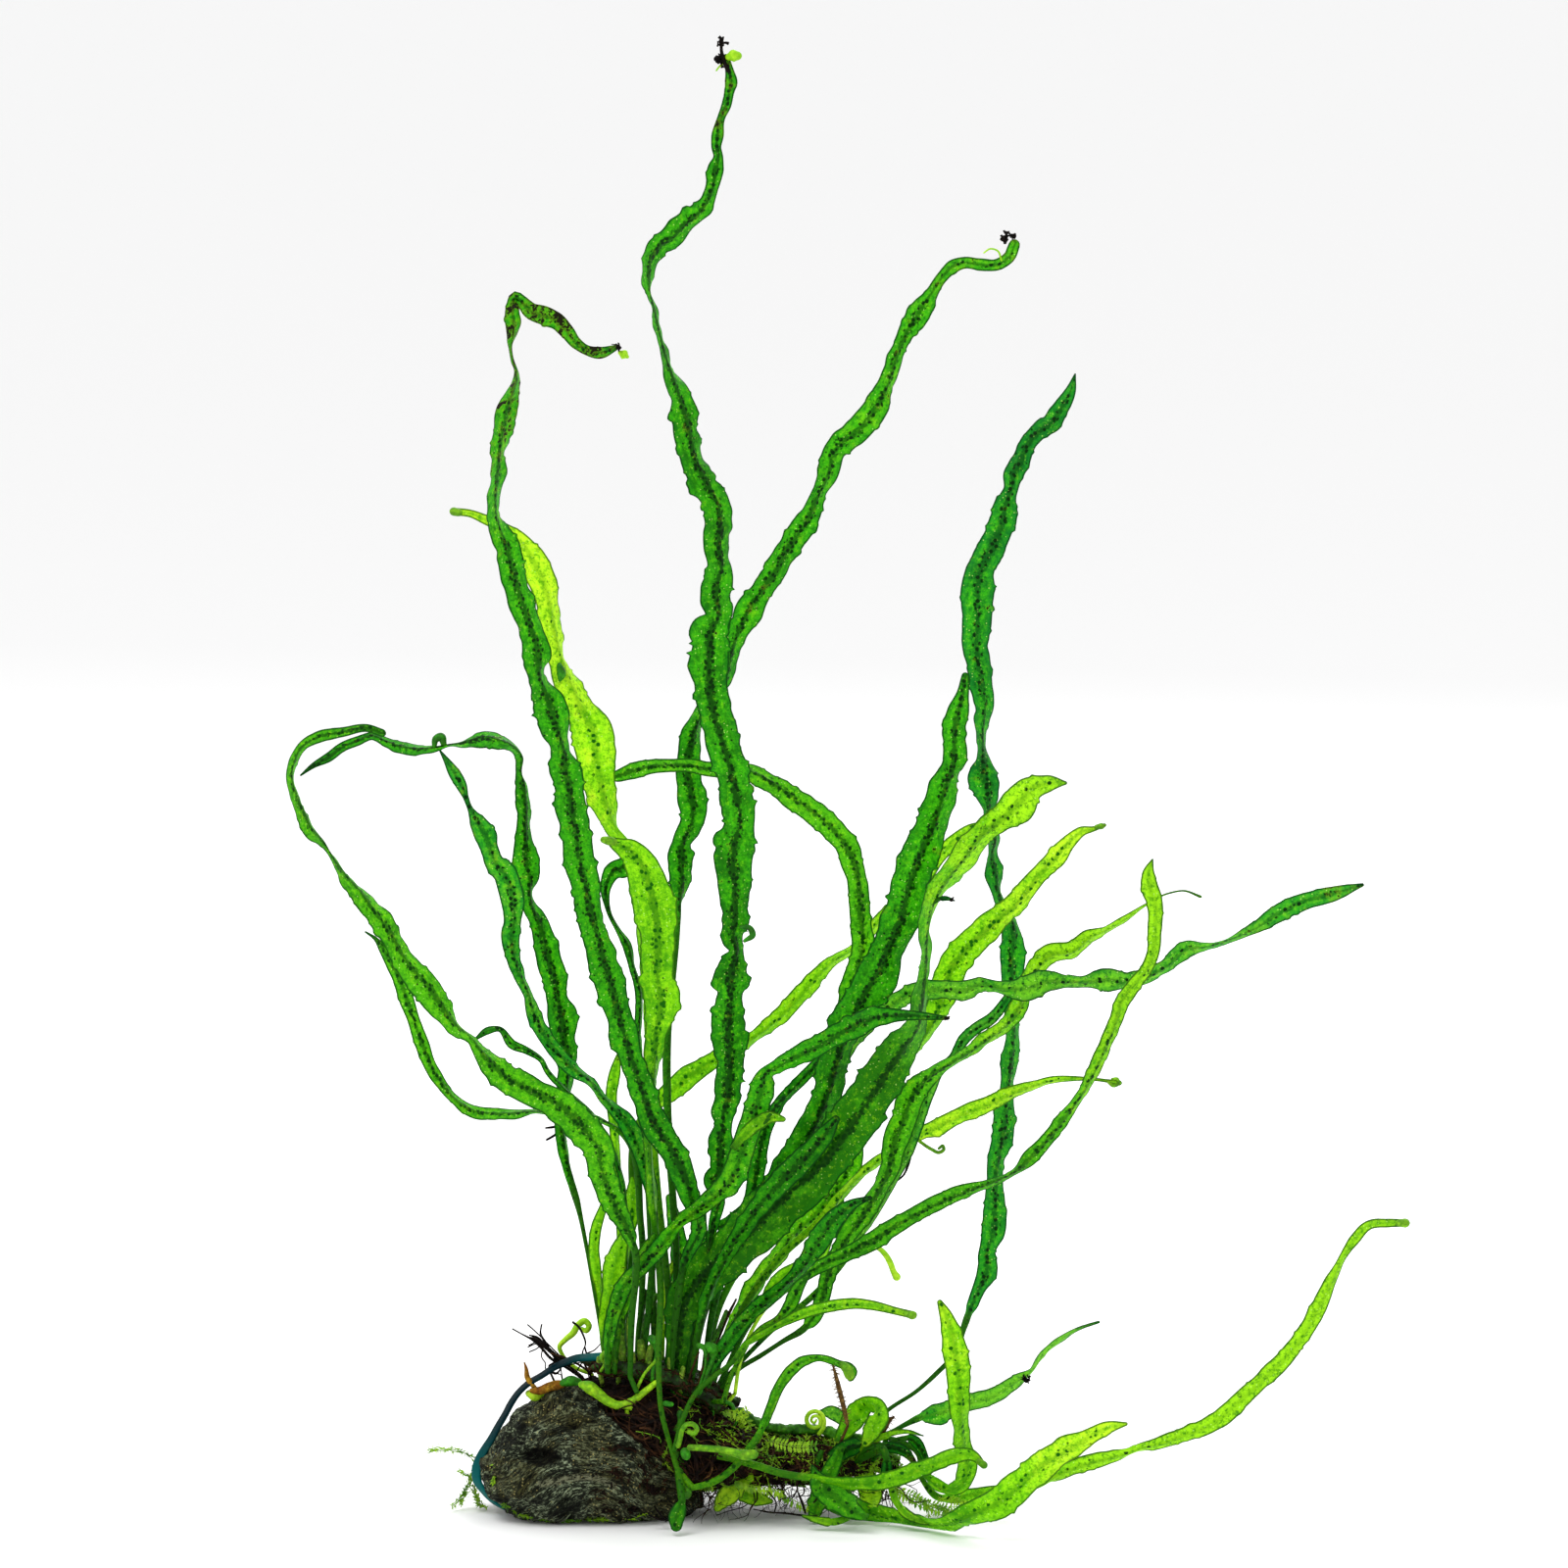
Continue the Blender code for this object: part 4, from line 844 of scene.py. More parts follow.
leaf("tall_right", OLD, 3, 13, [
    (1035, 250, 6), (1030, 262, 6), (1018, 270, 6), (1000, 270, 6), (985, 268, 6), (972, 272, 7),
    (962, 282, 6), (950, 300, 7), (938, 318, 12), (925, 340, 9), (917, 358, 7), (913, 370, 9),
    (903, 400, 9), (895, 415, 13), (880, 435, 13), (852, 460, 12), (845, 485, 9), (833, 510, 9),
    (824, 530, 12), (812, 548, 12), (801, 565, 11), (790, 585, 12), (778, 602, 11), (766, 620, 14),
    (756, 640, 12), (748, 660, 8), (742, 690, 5), (713, 735, 8), (706, 760, 12), (703, 775, 13),
    (703, 795, 14), (706, 815, 15), (707, 830, 14), (704, 845, 11), (697, 860, 10), (695, 872, 14),
    (696, 890, 11), (696, 905, 8), (694, 920, 6), (691, 950, 5), (682, 1060, 5), (684, 1180, 5),
    (690, 1280, 4), (686, 1400, 3)],
    youth=(0.6, 0.2, 0.05), decay=(0.3, 0.05, 0.0), frill=1.2, node="leaf_tall_right")
leaf("tall_left", OLD, -12, 16, [
    (628, 355, 3), (612, 360, 6), (598, 357, 5), (588, 350, 6), (578, 338, 7), (568, 328, 8),
    (555, 322, 9), (543, 318, 8), (533, 309, 6), (526, 303, 4), (523, 315, 6), (524, 330, 8),
    (524, 342, 7), (522, 355, 3), (524, 368, 2), (527, 378, 2), (527, 388, 5), (523, 400, 8),
    (518, 415, 11), (515, 430, 10), (511, 450, 10), (509, 470, 8), (507, 490, 7), (507, 530, 6),
    (512, 545, 8), (518, 560, 11), (521, 575, 13), (527, 595, 12), (538, 630, 13), (548, 660, 14),
    (550, 672, 15), (550, 685, 8), (554, 700, 9), (560, 715, 15), (566, 735, 16), (572, 755, 11),
    (575, 768, 10), (577, 785, 17), (581, 805, 15), (584, 830, 16), (588, 855, 16), (592, 880, 17),
    (598, 905, 15), (603, 930, 14), (622, 1000, 14), (634, 1045, 14), (646, 1085, 13), (657, 1118, 13),
    (668, 1148, 14), (687, 1175, 13), (700, 1206, 12), (709, 1235, 9), (713, 1253, 8), (700, 1285, 6),
    (690, 1340, 4), (684, 1410, 3)],
    youth=(0.5, 0.3, 0.1), decay=(0.5, 0.5, 0.42), frill=1.2, node="leaf_tall_left")
leaf("far_right", TEAL, 9, 14, [
    (1097, 382, 1), (1092, 400, 6), (1082, 418, 9), (1072, 432, 10), (1058, 442, 9), (1048, 455, 9),
    (1042, 470, 10), (1034, 485, 10), (1032, 500, 8), (1026, 515, 12), (1023, 530, 14), (1017, 548, 13),
    (1010, 562, 14), (1003, 578, 15), (998, 595, 17), (997, 612, 18), (997, 630, 15), (996, 650, 14),
    (998, 670, 13), (1003, 705, 12), (1005, 720, 10), (1003, 740, 7), (1003, 760, 5), (1004, 775, 8),
    (1003, 792, 16), (1008, 808, 13), (1009, 825, 7), (1010, 838, 4), (1016, 855, 6), (1013, 870, 5),
    (1016, 890, 9), (1018, 905, 6), (1023, 920, 6), (1034, 945, 9), (1033, 972, 13), (1033, 1010, 9),
    (1034, 1064, 8), (1030, 1100, 8), (1027, 1129, 10), (1024, 1157, 11), (1018, 1185, 9),
    (1016, 1213, 9), (1015, 1240, 12), (1014, 1258, 12), (1007, 1277, 9), (1007, 1296, 11),
    (999, 1315, 7), (991, 1334, 6), (984, 1353, 4), (975, 1380, 3), (955, 1402, 3), (936, 1419, 2.5),
    (906, 1439, 2.5), (882, 1462, 2.5)],
    youth=(0.1, 0.15, 0.3), spots=0.7, foot=(-0.0070, 0.030), node="leaf_far_right")

# The bright leaves
# Young leaves, yellow-green and softer, whose rib is only a darker thread with few spore dots.

leaf("bright_back", YOUNG, -4, 18, [
    (463, 522, 4), (480, 524, 4), (495, 530, 5), (515, 540, 6), (530, 552, 9), (545, 575, 14),
    (556, 600, 14), (562, 625, 12), (567, 650, 12), (573, 672, 9), (583, 700, 13), (592, 720, 14),
    (604, 745, 20), (608, 770, 20), (612, 795, 17), (618, 820, 13), (628, 843, 8), (640, 857, 4),
    (648, 890, 5), (660, 980, 5), (664, 1100, 5), (672, 1220, 5), (682, 1320, 4), (686, 1410, 3)],
    youth=(0.95, 0.4, 0.2), spots=0.4, node="leaf_bright_back")
leaf("bright_front", YOUNG, -9.9, 13, [
    (620, 857, 3), (630, 862, 8), (645, 870, 14), (657, 888, 19), (665, 915, 21), (670, 940, 20),
    (671, 965, 18), (671, 1000, 18), (675, 1022, 19), (671, 1045, 14), (669, 1065, 11), (668, 1085, 8),
    (667, 1110, 5), (664, 1160, 4), (668, 1240, 4), (674, 1320, 4), (672, 1385, 3.5), (675, 1440, 3),
    (687, 1485, 3), (697, 1520, 4)],
    youth=(0.4, -0.15, 0.5), spots=0.6, foot=(-0.0090, 0.036), node="leaf_bright_front")
leaf("yellow_diagonal", YOUNG, 2, 14, [
    (1127, 842, 2), (1115, 846, 3), (1105, 848, 5), (1090, 860, 8), (1075, 878, 10), (1060, 893, 10),
    (1048, 910, 10), (1035, 925, 11), (1020, 937, 13), (1002, 953, 14), (984, 971, 15), (970, 991, 15),
    (964, 1011, 15), (957, 1032, 12), (945, 1055, 10), (925, 1078, 10), (900, 1105, 10), (878, 1135, 10),
    (855, 1165, 9), (830, 1195, 8), (795, 1235, 7), (760, 1285, 6), (735, 1330, 5), (718, 1412, 3)],
    youth=(1.0, 0.0, -0.1), spots=0.7, node="leaf_yellow_diagonal")
leaf("long_yellow_back", YOUNG, 8, 10, [
    (1003, 840, 2), (992, 845, 5), (978, 855, 7), (962, 870, 7), (950, 888, 6), (942, 905, 4),
    (908, 930, 6), (893, 945, 6), (880, 962, 5), (862, 974, 5), (850, 981, 5), (835, 995, 8),
    (815, 1018, 9), (790, 1043, 7), (765, 1062, 7), (720, 1087, 10), (700, 1100, 12), (680, 1118, 9),
    (655, 1142, 5), (645, 1240, 4), (640, 1400, 3)],
    youth=(0.7, 0.3, 0.2), spots=0.35, node="leaf_long_yellow_back")
leaf("yellow_low_right", YOUNG, 6, 9, [
    (1142, 1105, 3), (1130, 1103, 2), (1113, 1101, 2), (1093, 1101, 3), (1073, 1103, 4), (1054, 1109, 5),
    (1034, 1116, 6), (1012, 1126, 8), (992, 1134, 9), (972, 1143, 8), (955, 1151, 10), (941, 1157, 7),
    (925, 1167, 5), (893, 1188, 6), (876, 1202, 5), (835, 1248, 5), (795, 1285, 5), (750, 1350, 4),
    (724, 1415, 3)],
    youth=(0.75, 0.65, 0.3), spots=0.4, node="leaf_yellow_low_right")
leaf("yellow_inner", YOUNG, 12, 7, [
    (850, 1248, 5), (846, 1265, 4), (838, 1282, 5), (820, 1290, 5), (800, 1302, 8), (790, 1313, 8),
    (782, 1326, 5), (768, 1345, 4), (735, 1410, 3)],
    youth=(0.3, 0.1, 0.0), spots=0.2, node="leaf_yellow_inner")

# The leaves on the left
# Two long leaves arch up and over and hang down again at their tips, and smaller ones lie
# between them.

leaf("left_loop", GREEN, -16.4, 15, [
    (390, 748, 4), (375, 743, 4), (350, 747, 5), (325, 752, 6), (308, 762, 5), (300, 778, 5),
    (298, 795, 5), (303, 812, 6), (311, 830, 6), (318, 845, 6), (330, 858, 3), (337, 870, 2),
    (345, 882, 4), (355, 895, 6), (368, 910, 7), (380, 927, 11), (392, 943, 11), (403, 960, 10),
    (413, 978, 10), (425, 993, 13), (440, 1010, 13), (452, 1028, 12), (465, 1045, 7), (482, 1060, 3),
    (491, 1072, 7), (502, 1085, 12), (515, 1098, 14), (535, 1110, 15), (561, 1122, 15), (579, 1134, 17),
    (597, 1154, 18), (611, 1172, 16), (613, 1190, 15), (620, 1212, 13), (630, 1235, 11), (640, 1255, 8),
    (648, 1275, 5), (649, 1300, 4), (645, 1340, 4), (643, 1405, 3)],
    youth=(0.1, 0.3, 0.1), spots=0.9, node="leaf_left_loop")
leaf("left_bridge", OLD, 7, 12, [
    (307, 791, 1), (320, 781, 3), (335, 773, 5), (350, 762, 5), (365, 756, 5), (380, 751, 4),
    (395, 757, 5), (410, 762, 7), (425, 764, 6), (440, 763, 4), (455, 760, 3), (470, 758, 5),
    (485, 754, 7), (495, 752, 9), (510, 755, 6), (525, 762, 5), (533, 772, 5), (532, 788, 3),
    (535, 800, 7), (536, 815, 8), (537, 835, 6), (536, 860, 10), (537, 880, 14), (540, 895, 12),
    (541, 912, 5), (543, 925, 7), (550, 940, 9), (555, 958, 12), (560, 980, 13), (567, 1000, 13),
    (568, 1015, 11), (573, 1037, 16), (575, 1057, 12), (580, 1078, 10), (579, 1100, 8), (574, 1155, 6),
    (578, 1180, 6), (586, 1215, 5), (592, 1240, 3), (598, 1270, 2.5), (606, 1312, 3), (613, 1353, 3),
    (620, 1400, 3)],
    youth=(0.2, 0.2, 0.1), node="leaf_left_bridge")
leaf("left_inner", TEAL, -6.9, 10, [
    (449, 766, 1), (455, 775, 3), (463, 788, 6), (470, 800, 6), (476, 815, 3), (480, 825, 3),
    (488, 840, 9), (495, 852, 11), (500, 866, 9), (505, 880, 10), (515, 892, 12), (520, 905, 12),
    (524, 925, 11), (524, 940, 8), (522, 955, 9), (523, 968, 8), (527, 985, 6), (533, 1000, 6),
    (540, 1015, 5), (544, 1032, 8), (553, 1051, 8), (567, 1072, 8), (585, 1090, 8), (600, 1101, 5),
    (613, 1117, 5), (628, 1133, 7), (642, 1150, 9), (652, 1172, 9), (660, 1195, 8), (666, 1220, 6),
    (668, 1260, 4), (664, 1310, 4), (656, 1400, 3)],
    youth=(0.5, 0.55, 0.4), spots=0.9, node="leaf_left_inner")
leaf("far_left_low", GREEN, 1, 8, [
    (373, 951, 1), (382, 957, 2), (392, 970, 5), (400, 985, 6), (408, 1000, 7), (414, 1017, 8),
    (421, 1037, 7), (430, 1063, 8), (438, 1084, 7), (450, 1104, 6), (465, 1122, 5), (485, 1134, 7),
    (503, 1136, 6), (523, 1136, 5), (544, 1134, 3), (569, 1136, 2), (599, 1137, 3), (634, 1155, 4),
    (654, 1250, 4), (650, 1400, 3)],
    youth=(0.35, 0.15, 0.0), spots=0.8, node="leaf_far_left_low")
leaf("left_small", OLD, 3.5, 5, [
    (487, 1059, 2), (497, 1052, 4), (509, 1050, 3), (523, 1066, 5), (538, 1072, 4), (553, 1081, 3),
    (559, 1092, 3), (575, 1110, 3), (605, 1138, 3), (634, 1200, 3), (638, 1290, 3), (630, 1400, 3)],
    youth=(0.4, 0.1, 0.0), spots=0.7, node="leaf_left_small")

# The leaves of the centre
# They stand one behind the other over the crown, so that light comes through two or three
# blades at once.

leaf("arched_centre", GREEN, -1, 12, [
    (630, 792, 6), (645, 787, 8), (660, 783, 8), (680, 781, 7), (700, 781, 7), (725, 785, 8),
    (765, 787, 8), (785, 797, 9), (800, 807, 11), (820, 822, 12), (840, 837, 12), (855, 852, 12),
    (866, 868, 12), (874, 890, 11), (878, 930, 11), (880, 965, 12), (870, 1010, 11), (862, 1050, 10),
    (850, 1110, 10), (842, 1140, 13), (828, 1170, 14), (805, 1205, 12), (775, 1240, 10), (745, 1285, 8),
    (722, 1330, 5), (704, 1415, 3)],
    youth=(0.3, 0.3, 0.1), node="leaf_arched_centre")
leaf("broad_yellow_tip", GREEN, -9, 24, [
    (1087, 799, 2), (1072, 799, 8), (1055, 803, 12), (1038, 822, 18), (1020, 838, 13), (1005, 850, 12),
    (985, 875, 13), (965, 900, 12), (952, 925, 7), (947, 950, 6), (945, 985, 6), (942, 1020, 7),
    (936, 1050, 10), (922, 1070, 15), (905, 1095, 22), (885, 1125, 24), (860, 1160, 25), (830, 1195, 26),
    (800, 1222, 26), (775, 1247, 26), (745, 1277, 25), (716, 1303, 22), (695, 1341, 18), (692, 1370, 13),
    (690, 1400, 10), (692, 1430, 6)],
    youth=(1.25, -0.2, 0.05), node="leaf_broad_yellow_tip")
leaf("broad_centre", OLD, -6, 19, [
    (985, 690, 4), (983, 705, 6), (978, 725, 10), (974, 745, 11), (974, 765, 12), (972, 785, 11),
    (966, 800, 13), (960, 820, 15), (953, 842, 16), (945, 860, 18), (936, 882, 20), (928, 902, 20),
    (922, 930, 20), (908, 965, 18), (898, 990, 20), (885, 1010, 20), (872, 1035, 18), (860, 1065, 16),
    (850, 1100, 15), (838, 1135, 15), (822, 1168, 14), (800, 1200, 13), (770, 1235, 10), (740, 1275, 8),
    (718, 1320, 6), (704, 1370, 5), (698, 1418, 3)],
    youth=(0.4, 0.1, 0.0), frill=1.2, node="leaf_broad_centre")
leaf("folded_centre", OLD, -14, 12, [
    (967, 1039, 2), (945, 1037, 4), (920, 1036, 6), (895, 1038, 10), (870, 1048, 12), (845, 1062, 11),
    (820, 1075, 9), (795, 1088, 7), (781, 1097, 8), (778, 1110, 13), (772, 1130, 13), (765, 1150, 12),
    (757, 1175, 12), (745, 1205, 12), (725, 1225, 9), (705, 1240, 7), (690, 1252, 7), (675, 1272, 8),
    (655, 1292, 9), (638, 1310, 9), (628, 1335, 8), (622, 1360, 7), (620, 1400, 3)],
    youth=(0.0, 0.6, 0.5), spots=0.8, decay=(0.3, 0.0, 0.0), node="leaf_folded_centre")
leaf("narrow_dark", OLD, 6, 8, [
    (860, 1060, 3), (833, 1086, 6), (813, 1107, 6), (795, 1127, 6), (780, 1155, 8), (772, 1195, 9),
    (763, 1233, 8), (745, 1246, 5), (728, 1256, 5), (722, 1290, 5), (714, 1340, 4), (708, 1415, 3)],
    youth=(0.0, -0.1, -0.1), node="leaf_narrow_dark")
leaf("thin_between", OLD, -1, 7, [
    (638, 884, 10), (625, 890, 9), (618, 905, 6), (620, 925, 3), (632, 950, 3), (641, 965, 5),
    (646, 985, 3), (652, 1005, 4), (652, 1060, 4), (658, 1150, 4), (664, 1260, 4), (668, 1400, 3)],
    youth=(0.2, 0.1, 0.1), node="leaf_thin_between")
leaf("short_centre", OLD, -12, 11, [
    (853, 1142, 4), (840, 1160, 10), (815, 1188, 12), (775, 1230, 11), (740, 1285, 8), (715, 1350, 5),
    (705, 1415, 3)],
    youth=(0.1, 0.3, 0.3), spots=0.8, node="leaf_short_centre")
leaf("spotted_inner", GREEN, 9, 12, [
    (877, 1160, 4), (872, 1180, 9), (862, 1200, 13), (850, 1218, 13), (832, 1240, 11), (812, 1258, 9),
    (797, 1278, 8), (780, 1300, 8), (760, 1330, 7), (745, 1355, 5), (728, 1412, 3)],
    youth=(0.2, 0.6, 0.4), spots=0.8, node="leaf_spotted_inner")
leaf("dark_inner", DARK, -18, 10, [
    (888, 1222, 2), (872, 1228, 5), (855, 1240, 9), (842, 1256, 11), (832, 1272, 11), (822, 1290, 8),
    (803, 1310, 6), (780, 1330, 8), (758, 1350, 9), (740, 1374, 8), (722, 1402, 5), (716, 1415, 3)],
    youth=(0.2, 0.4, 0.2), spots=0.7, node="leaf_dark_inner")
leaf("small_inner", GREEN, -21, 6, [
    (826, 1300, 2), (815, 1313, 6), (806, 1332, 7), (795, 1346, 4), (778, 1356, 3), (748, 1400, 3),
    (738, 1430, 3)],
    youth=(0.0, 0.8, 0.6), spots=0.6, node="leaf_small_inner")

# The leaves on the right
# They lean far out, one almost level, and their stalks cross each other on the way to the crown.

leaf("teal_right", TEAL, -2.9, 11, [
    (1390, 903, 2), (1360, 912, 8), (1330, 920, 9), (1300, 935, 9), (1285, 945, 7), (1260, 957, 3),
    (1233, 966, 4), (1211, 969, 9), (1191, 986, 7), (1155, 1002, 8), (1129, 1000, 11), (1107, 1002, 6),
    (1085, 1002, 8), (1068, 1002, 12), (1045, 1009, 13), (1023, 1009, 7), (1000, 1005, 8),
    (983, 1011, 10), (965, 1010, 10), (930, 1014, 10), (905, 1030, 9), (880, 1050, 8), (862, 1075, 8),
    (850, 1105, 8), (835, 1145, 8), (780, 1228, 7), (735, 1310, 5), (716, 1412, 3)],
    youth=(0.5, 0.9, 0.4), spots=0.8, decay=(0.5, 0.0, 0.0), node="leaf_teal_right")
leaf("long_stalked_right", GREEN, -11, 9, [
    (1176, 877, 1), (1172, 890, 6), (1173, 905, 9), (1178, 920, 8), (1178, 955, 7), (1177, 971, 6.5),
    (1169, 991, 6), (1157, 1005, 7), (1146, 1019, 8), (1138, 1045, 6.5), (1129, 1067, 6),
    (1118, 1092, 5.5), (1104, 1117, 5), (1087, 1140, 7), (1070, 1162, 6), (1051, 1182, 8),
    (1040, 1193, 5), (1017, 1205, 4), (986, 1216, 7), (953, 1230, 8), (916, 1250, 9), (892, 1265, 10),
    (863, 1280, 8), (833, 1294, 7), (804, 1312, 6), (775, 1336, 6), (745, 1362, 4), (722, 1415, 3)],
    youth=(1.5, 0.15, 0.1), spots=0.8, node="leaf_long_stalked_right")
leaf("spotted_right", GREEN, 0, 12, [
    (1225, 915, 1.5), (1208, 909, 1), (1194, 911, 1), (1169, 924, 1.5), (1149, 938, 3), (1130, 949, 3.5),
    (1113, 957, 6), (1093, 972, 8), (1073, 974, 11), (1059, 988, 8), (1051, 997, 6), (1040, 1028, 10),
    (1028, 1045, 7), (1012, 1058, 7), (995, 1070, 6), (978, 1081, 6), (947, 1100, 9), (932, 1117, 13),
    (922, 1143, 13), (913, 1165, 13), (908, 1190, 11), (898, 1213, 9), (884, 1235, 10), (872, 1252, 10),
    (860, 1272, 9), (850, 1288, 8), (843, 1308, 8), (838, 1328, 8), (831, 1343, 8), (820, 1356, 5),
    (800, 1368, 3), (775, 1384, 3), (755, 1396, 3), (730, 1422, 3)],
    youth=(1.6, 0.3, 0.1), node="leaf_spotted_right")
leaf("slender_right", TEAL, 3, 6, [
    (1028, 1019, 5), (1012, 1039, 6), (995, 1050, 6), (983, 1061, 6), (972, 1081, 5), (960, 1092, 5),
    (951, 1108, 6), (943, 1128, 6), (935, 1152, 6), (925, 1178, 6), (913, 1203, 5), (880, 1260, 4),
    (840, 1312, 4), (785, 1360, 3), (735, 1412, 3)],
    youth=(0.4, 1.0, 0.6), spots=0.8, node="leaf_slender_right")
leaf("round_tipped", YOUNG, -24, 6, [
    (932, 1342, 4), (915, 1338, 4), (890, 1332, 5), (860, 1331, 6), (830, 1337, 6), (810, 1345, 5),
    (790, 1355, 4), (765, 1370, 4), (745, 1392, 3), (728, 1405, 3), (709, 1423, 3), (698, 1445, 3),
    (688, 1480, 3)],
    youth=(0.8, 0.1, 0.3), spots=0.3, node="leaf_round_tipped")

# The low leaves
# They lean out just over the ground, and the broad one lies on it. Their stalks come from the
# mat's right half.

leaf("low_far_right", GREEN, -6, 9, [
    (1434, 1248, 4), (1417, 1248, 4.5), (1397, 1250, 5), (1382, 1265, 5.5), (1371, 1282, 4),
    (1361, 1303, 5.5), (1348, 1330, 8), (1329, 1364, 8), (1313, 1384, 9), (1290, 1407, 8.5),
    (1267, 1428, 9), (1237, 1453, 9), (1206, 1466, 7.5), (1183, 1474, 6), (1168, 1477, 4.5),
    (1145, 1485, 6), (1114, 1493, 7.5), (1087, 1502, 8), (1060, 1515, 5), (1010, 1523, 7), (980, 1527, 7),
    (958, 1528, 5), (940, 1508, 3), (928, 1484, 3), (912, 1474, 3)],
    youth=(1.4, 1.2, 0.5), spots=0.5, foot=(0.0062, 0.030), node="leaf_low_far_right")
leaf("broad_on_ground", YOUNG, -20, 15, [
    (1149, 1453, 2), (1133, 1456, 6), (1114, 1465, 9), (1091, 1479, 12), (1064, 1495, 15),
    (1042, 1514, 16), (1019, 1533, 16), (996, 1544, 13), (973, 1554, 9), (946, 1556, 7), (929, 1554, 8),
    (907, 1548, 9), (884, 1543, 10), (862, 1536, 13), (846, 1523, 15), (835, 1510, 11), (831, 1502, 6),
    (838, 1482, 3)],
    youth=(1.25, 0.05, -0.2), spots=0.4, foot=(0.0092, 0.034), node="leaf_broad_on_ground")
leaf("upright_low_right", YOUNG, -8, 12, [
    (959, 1329, 3), (965, 1342, 7), (971, 1361, 11), (975, 1384, 13), (978, 1407, 12), (980, 1430, 11),
    (981, 1453, 9), (983, 1475, 8), (987, 1498, 11), (982, 1514, 8), (969, 1521, 6), (954, 1514, 6),
    (942, 1502, 5), (938, 1484, 4), (922, 1472, 3), (905, 1467, 3)],
    youth=(0.85, 0.15, -0.1), spots=0.3, foot=(0.0070, 0.030), node="leaf_upright_low_right")
leaf("pale_low", YOUNG, -13, 8, [
    (1003, 1494, 3), (992, 1485, 6), (976, 1485, 8), (954, 1493, 8), (931, 1502, 9), (907, 1510, 9),
    (873, 1514, 7), (851, 1513, 6), (822, 1508, 5), (795, 1503, 4.5), (773, 1496, 5), (750, 1489, 4.5),
    (705, 1482, 3)],
    youth=(0.5, -0.05, 0.6), spots=0.1, foot=(-0.0045, 0.050), node="leaf_pale_low")
leaf("bluegreen_low", TEAL, 3, 10, [
    (1121, 1349, 1.5), (1103, 1355, 2), (1084, 1366, 2.5), (1064, 1384, 3), (1053, 1399, 3),
    (1038, 1409, 6), (1019, 1422, 9), (996, 1430, 9), (973, 1437, 9), (954, 1443, 10), (938, 1447, 5),
    (923, 1454, 3), (908, 1462, 3), (892, 1466, 3)],
    youth=(1.4, 1.1, 0.3), spots=0.5, foot=(-0.0020, 0.020), node="leaf_bluegreen_low")
leaf("arched_low", GREEN, -20, 6, [
    (868, 1406, 4), (870, 1400, 5), (866, 1395, 5), (857, 1392, 4), (846, 1388, 4), (833, 1386, 4),
    (820, 1389, 5.5), (806, 1400, 6), (795, 1416, 5.5), (786, 1438, 5), (777, 1460, 4.5),
    (764, 1479, 4.5), (746, 1500, 4), (726, 1513, 4), (707, 1518, 3.5)],
    youth=(0.15, 0.4, 0.75), spots=0.3, foot=(-0.0016, 0.020), node="leaf_arched_low")
leaf("folded_over", YOUNG, -10, 10, [
    (884, 1471, 6), (891, 1458, 10), (897, 1444, 10), (893, 1434, 8), (884, 1434, 9), (873, 1446, 12),
    (862, 1460, 9), (855, 1470, 5)],
    youth=(0.8, 0.1, 0.1), spots=0.15, foot=(0.0070, 0.010), node="leaf_folded_over")
leaf("drooping_bright", YOUNG, -17, 10, [
    (891, 1537, 5), (889, 1525, 12), (882, 1505, 11), (877, 1488, 8), (874, 1476, 5)],
    youth=(0.8, 0.7, 0.5), spots=0.1, foot=(0.0130, 0.012), node="leaf_drooping_bright")
leaf("teal_small", TEAL, 5, 6, [
    (838, 1441, 3), (847, 1441, 7), (858, 1447, 7), (866, 1462, 3)],
    youth=(1.2, 1.0, 0.6), spots=0.2, node="leaf_teal_small")
leaf("hanging_front", GREEN, -23, 8, [
    (690, 1557, 6), (690, 1550, 8), (693, 1540, 7), (696, 1531, 5)],
    youth=(0.0, -0.15, -0.2), spots=0.4, node="leaf_hanging_front")

# The young leaves at the crown
# Short, bright and still narrow blades on thin stalks. They stand close together and grow from
# the first rhizome.

leaf("young_left", YOUNG, 4.5, 6, [
    (617, 1228, 4), (608, 1255, 6), (606, 1275, 6), (608, 1295, 6), (612, 1315, 4), (617, 1375, 3),
    (622, 1405, 3)],
    youth=(0.3, 0.35, 0.2), spots=0.1, node="leaf_young_left")
leaf("young_front", YOUNG, -8, 8, [
    (636, 1260, 4), (632, 1275, 9), (628, 1290, 11), (624, 1308, 10), (620, 1330, 7), (616, 1360, 5),
    (620, 1400, 3)],
    youth=(0.2, 0.5, 0.2), spots=0.1, node="leaf_young_front")
leaf("young_middle", YOUNG, 6, 6, [
    (645, 1203, 3), (645, 1220, 7), (645, 1240, 7), (643, 1255, 6), (640, 1275, 5), (637, 1300, 4),
    (636, 1400, 3)],
    youth=(0.3, 0.1, 0.1), spots=0.2, node="leaf_young_middle")
leaf("young_back", YOUNG, 10, 6, [
    (631, 1078, 3), (627, 1095, 6), (624, 1115, 6), (627, 1150, 5), (632, 1220, 4), (634, 1300, 4),
    (632, 1400, 3)],
    youth=(0.2, 0.15, 0.2), spots=0.3, node="leaf_young_back")

# The small bits of leaf
# Old leaf ends, torn strips and plantlets with no stalk of their own, lying against the crown, the
# mat and the larger leaves.

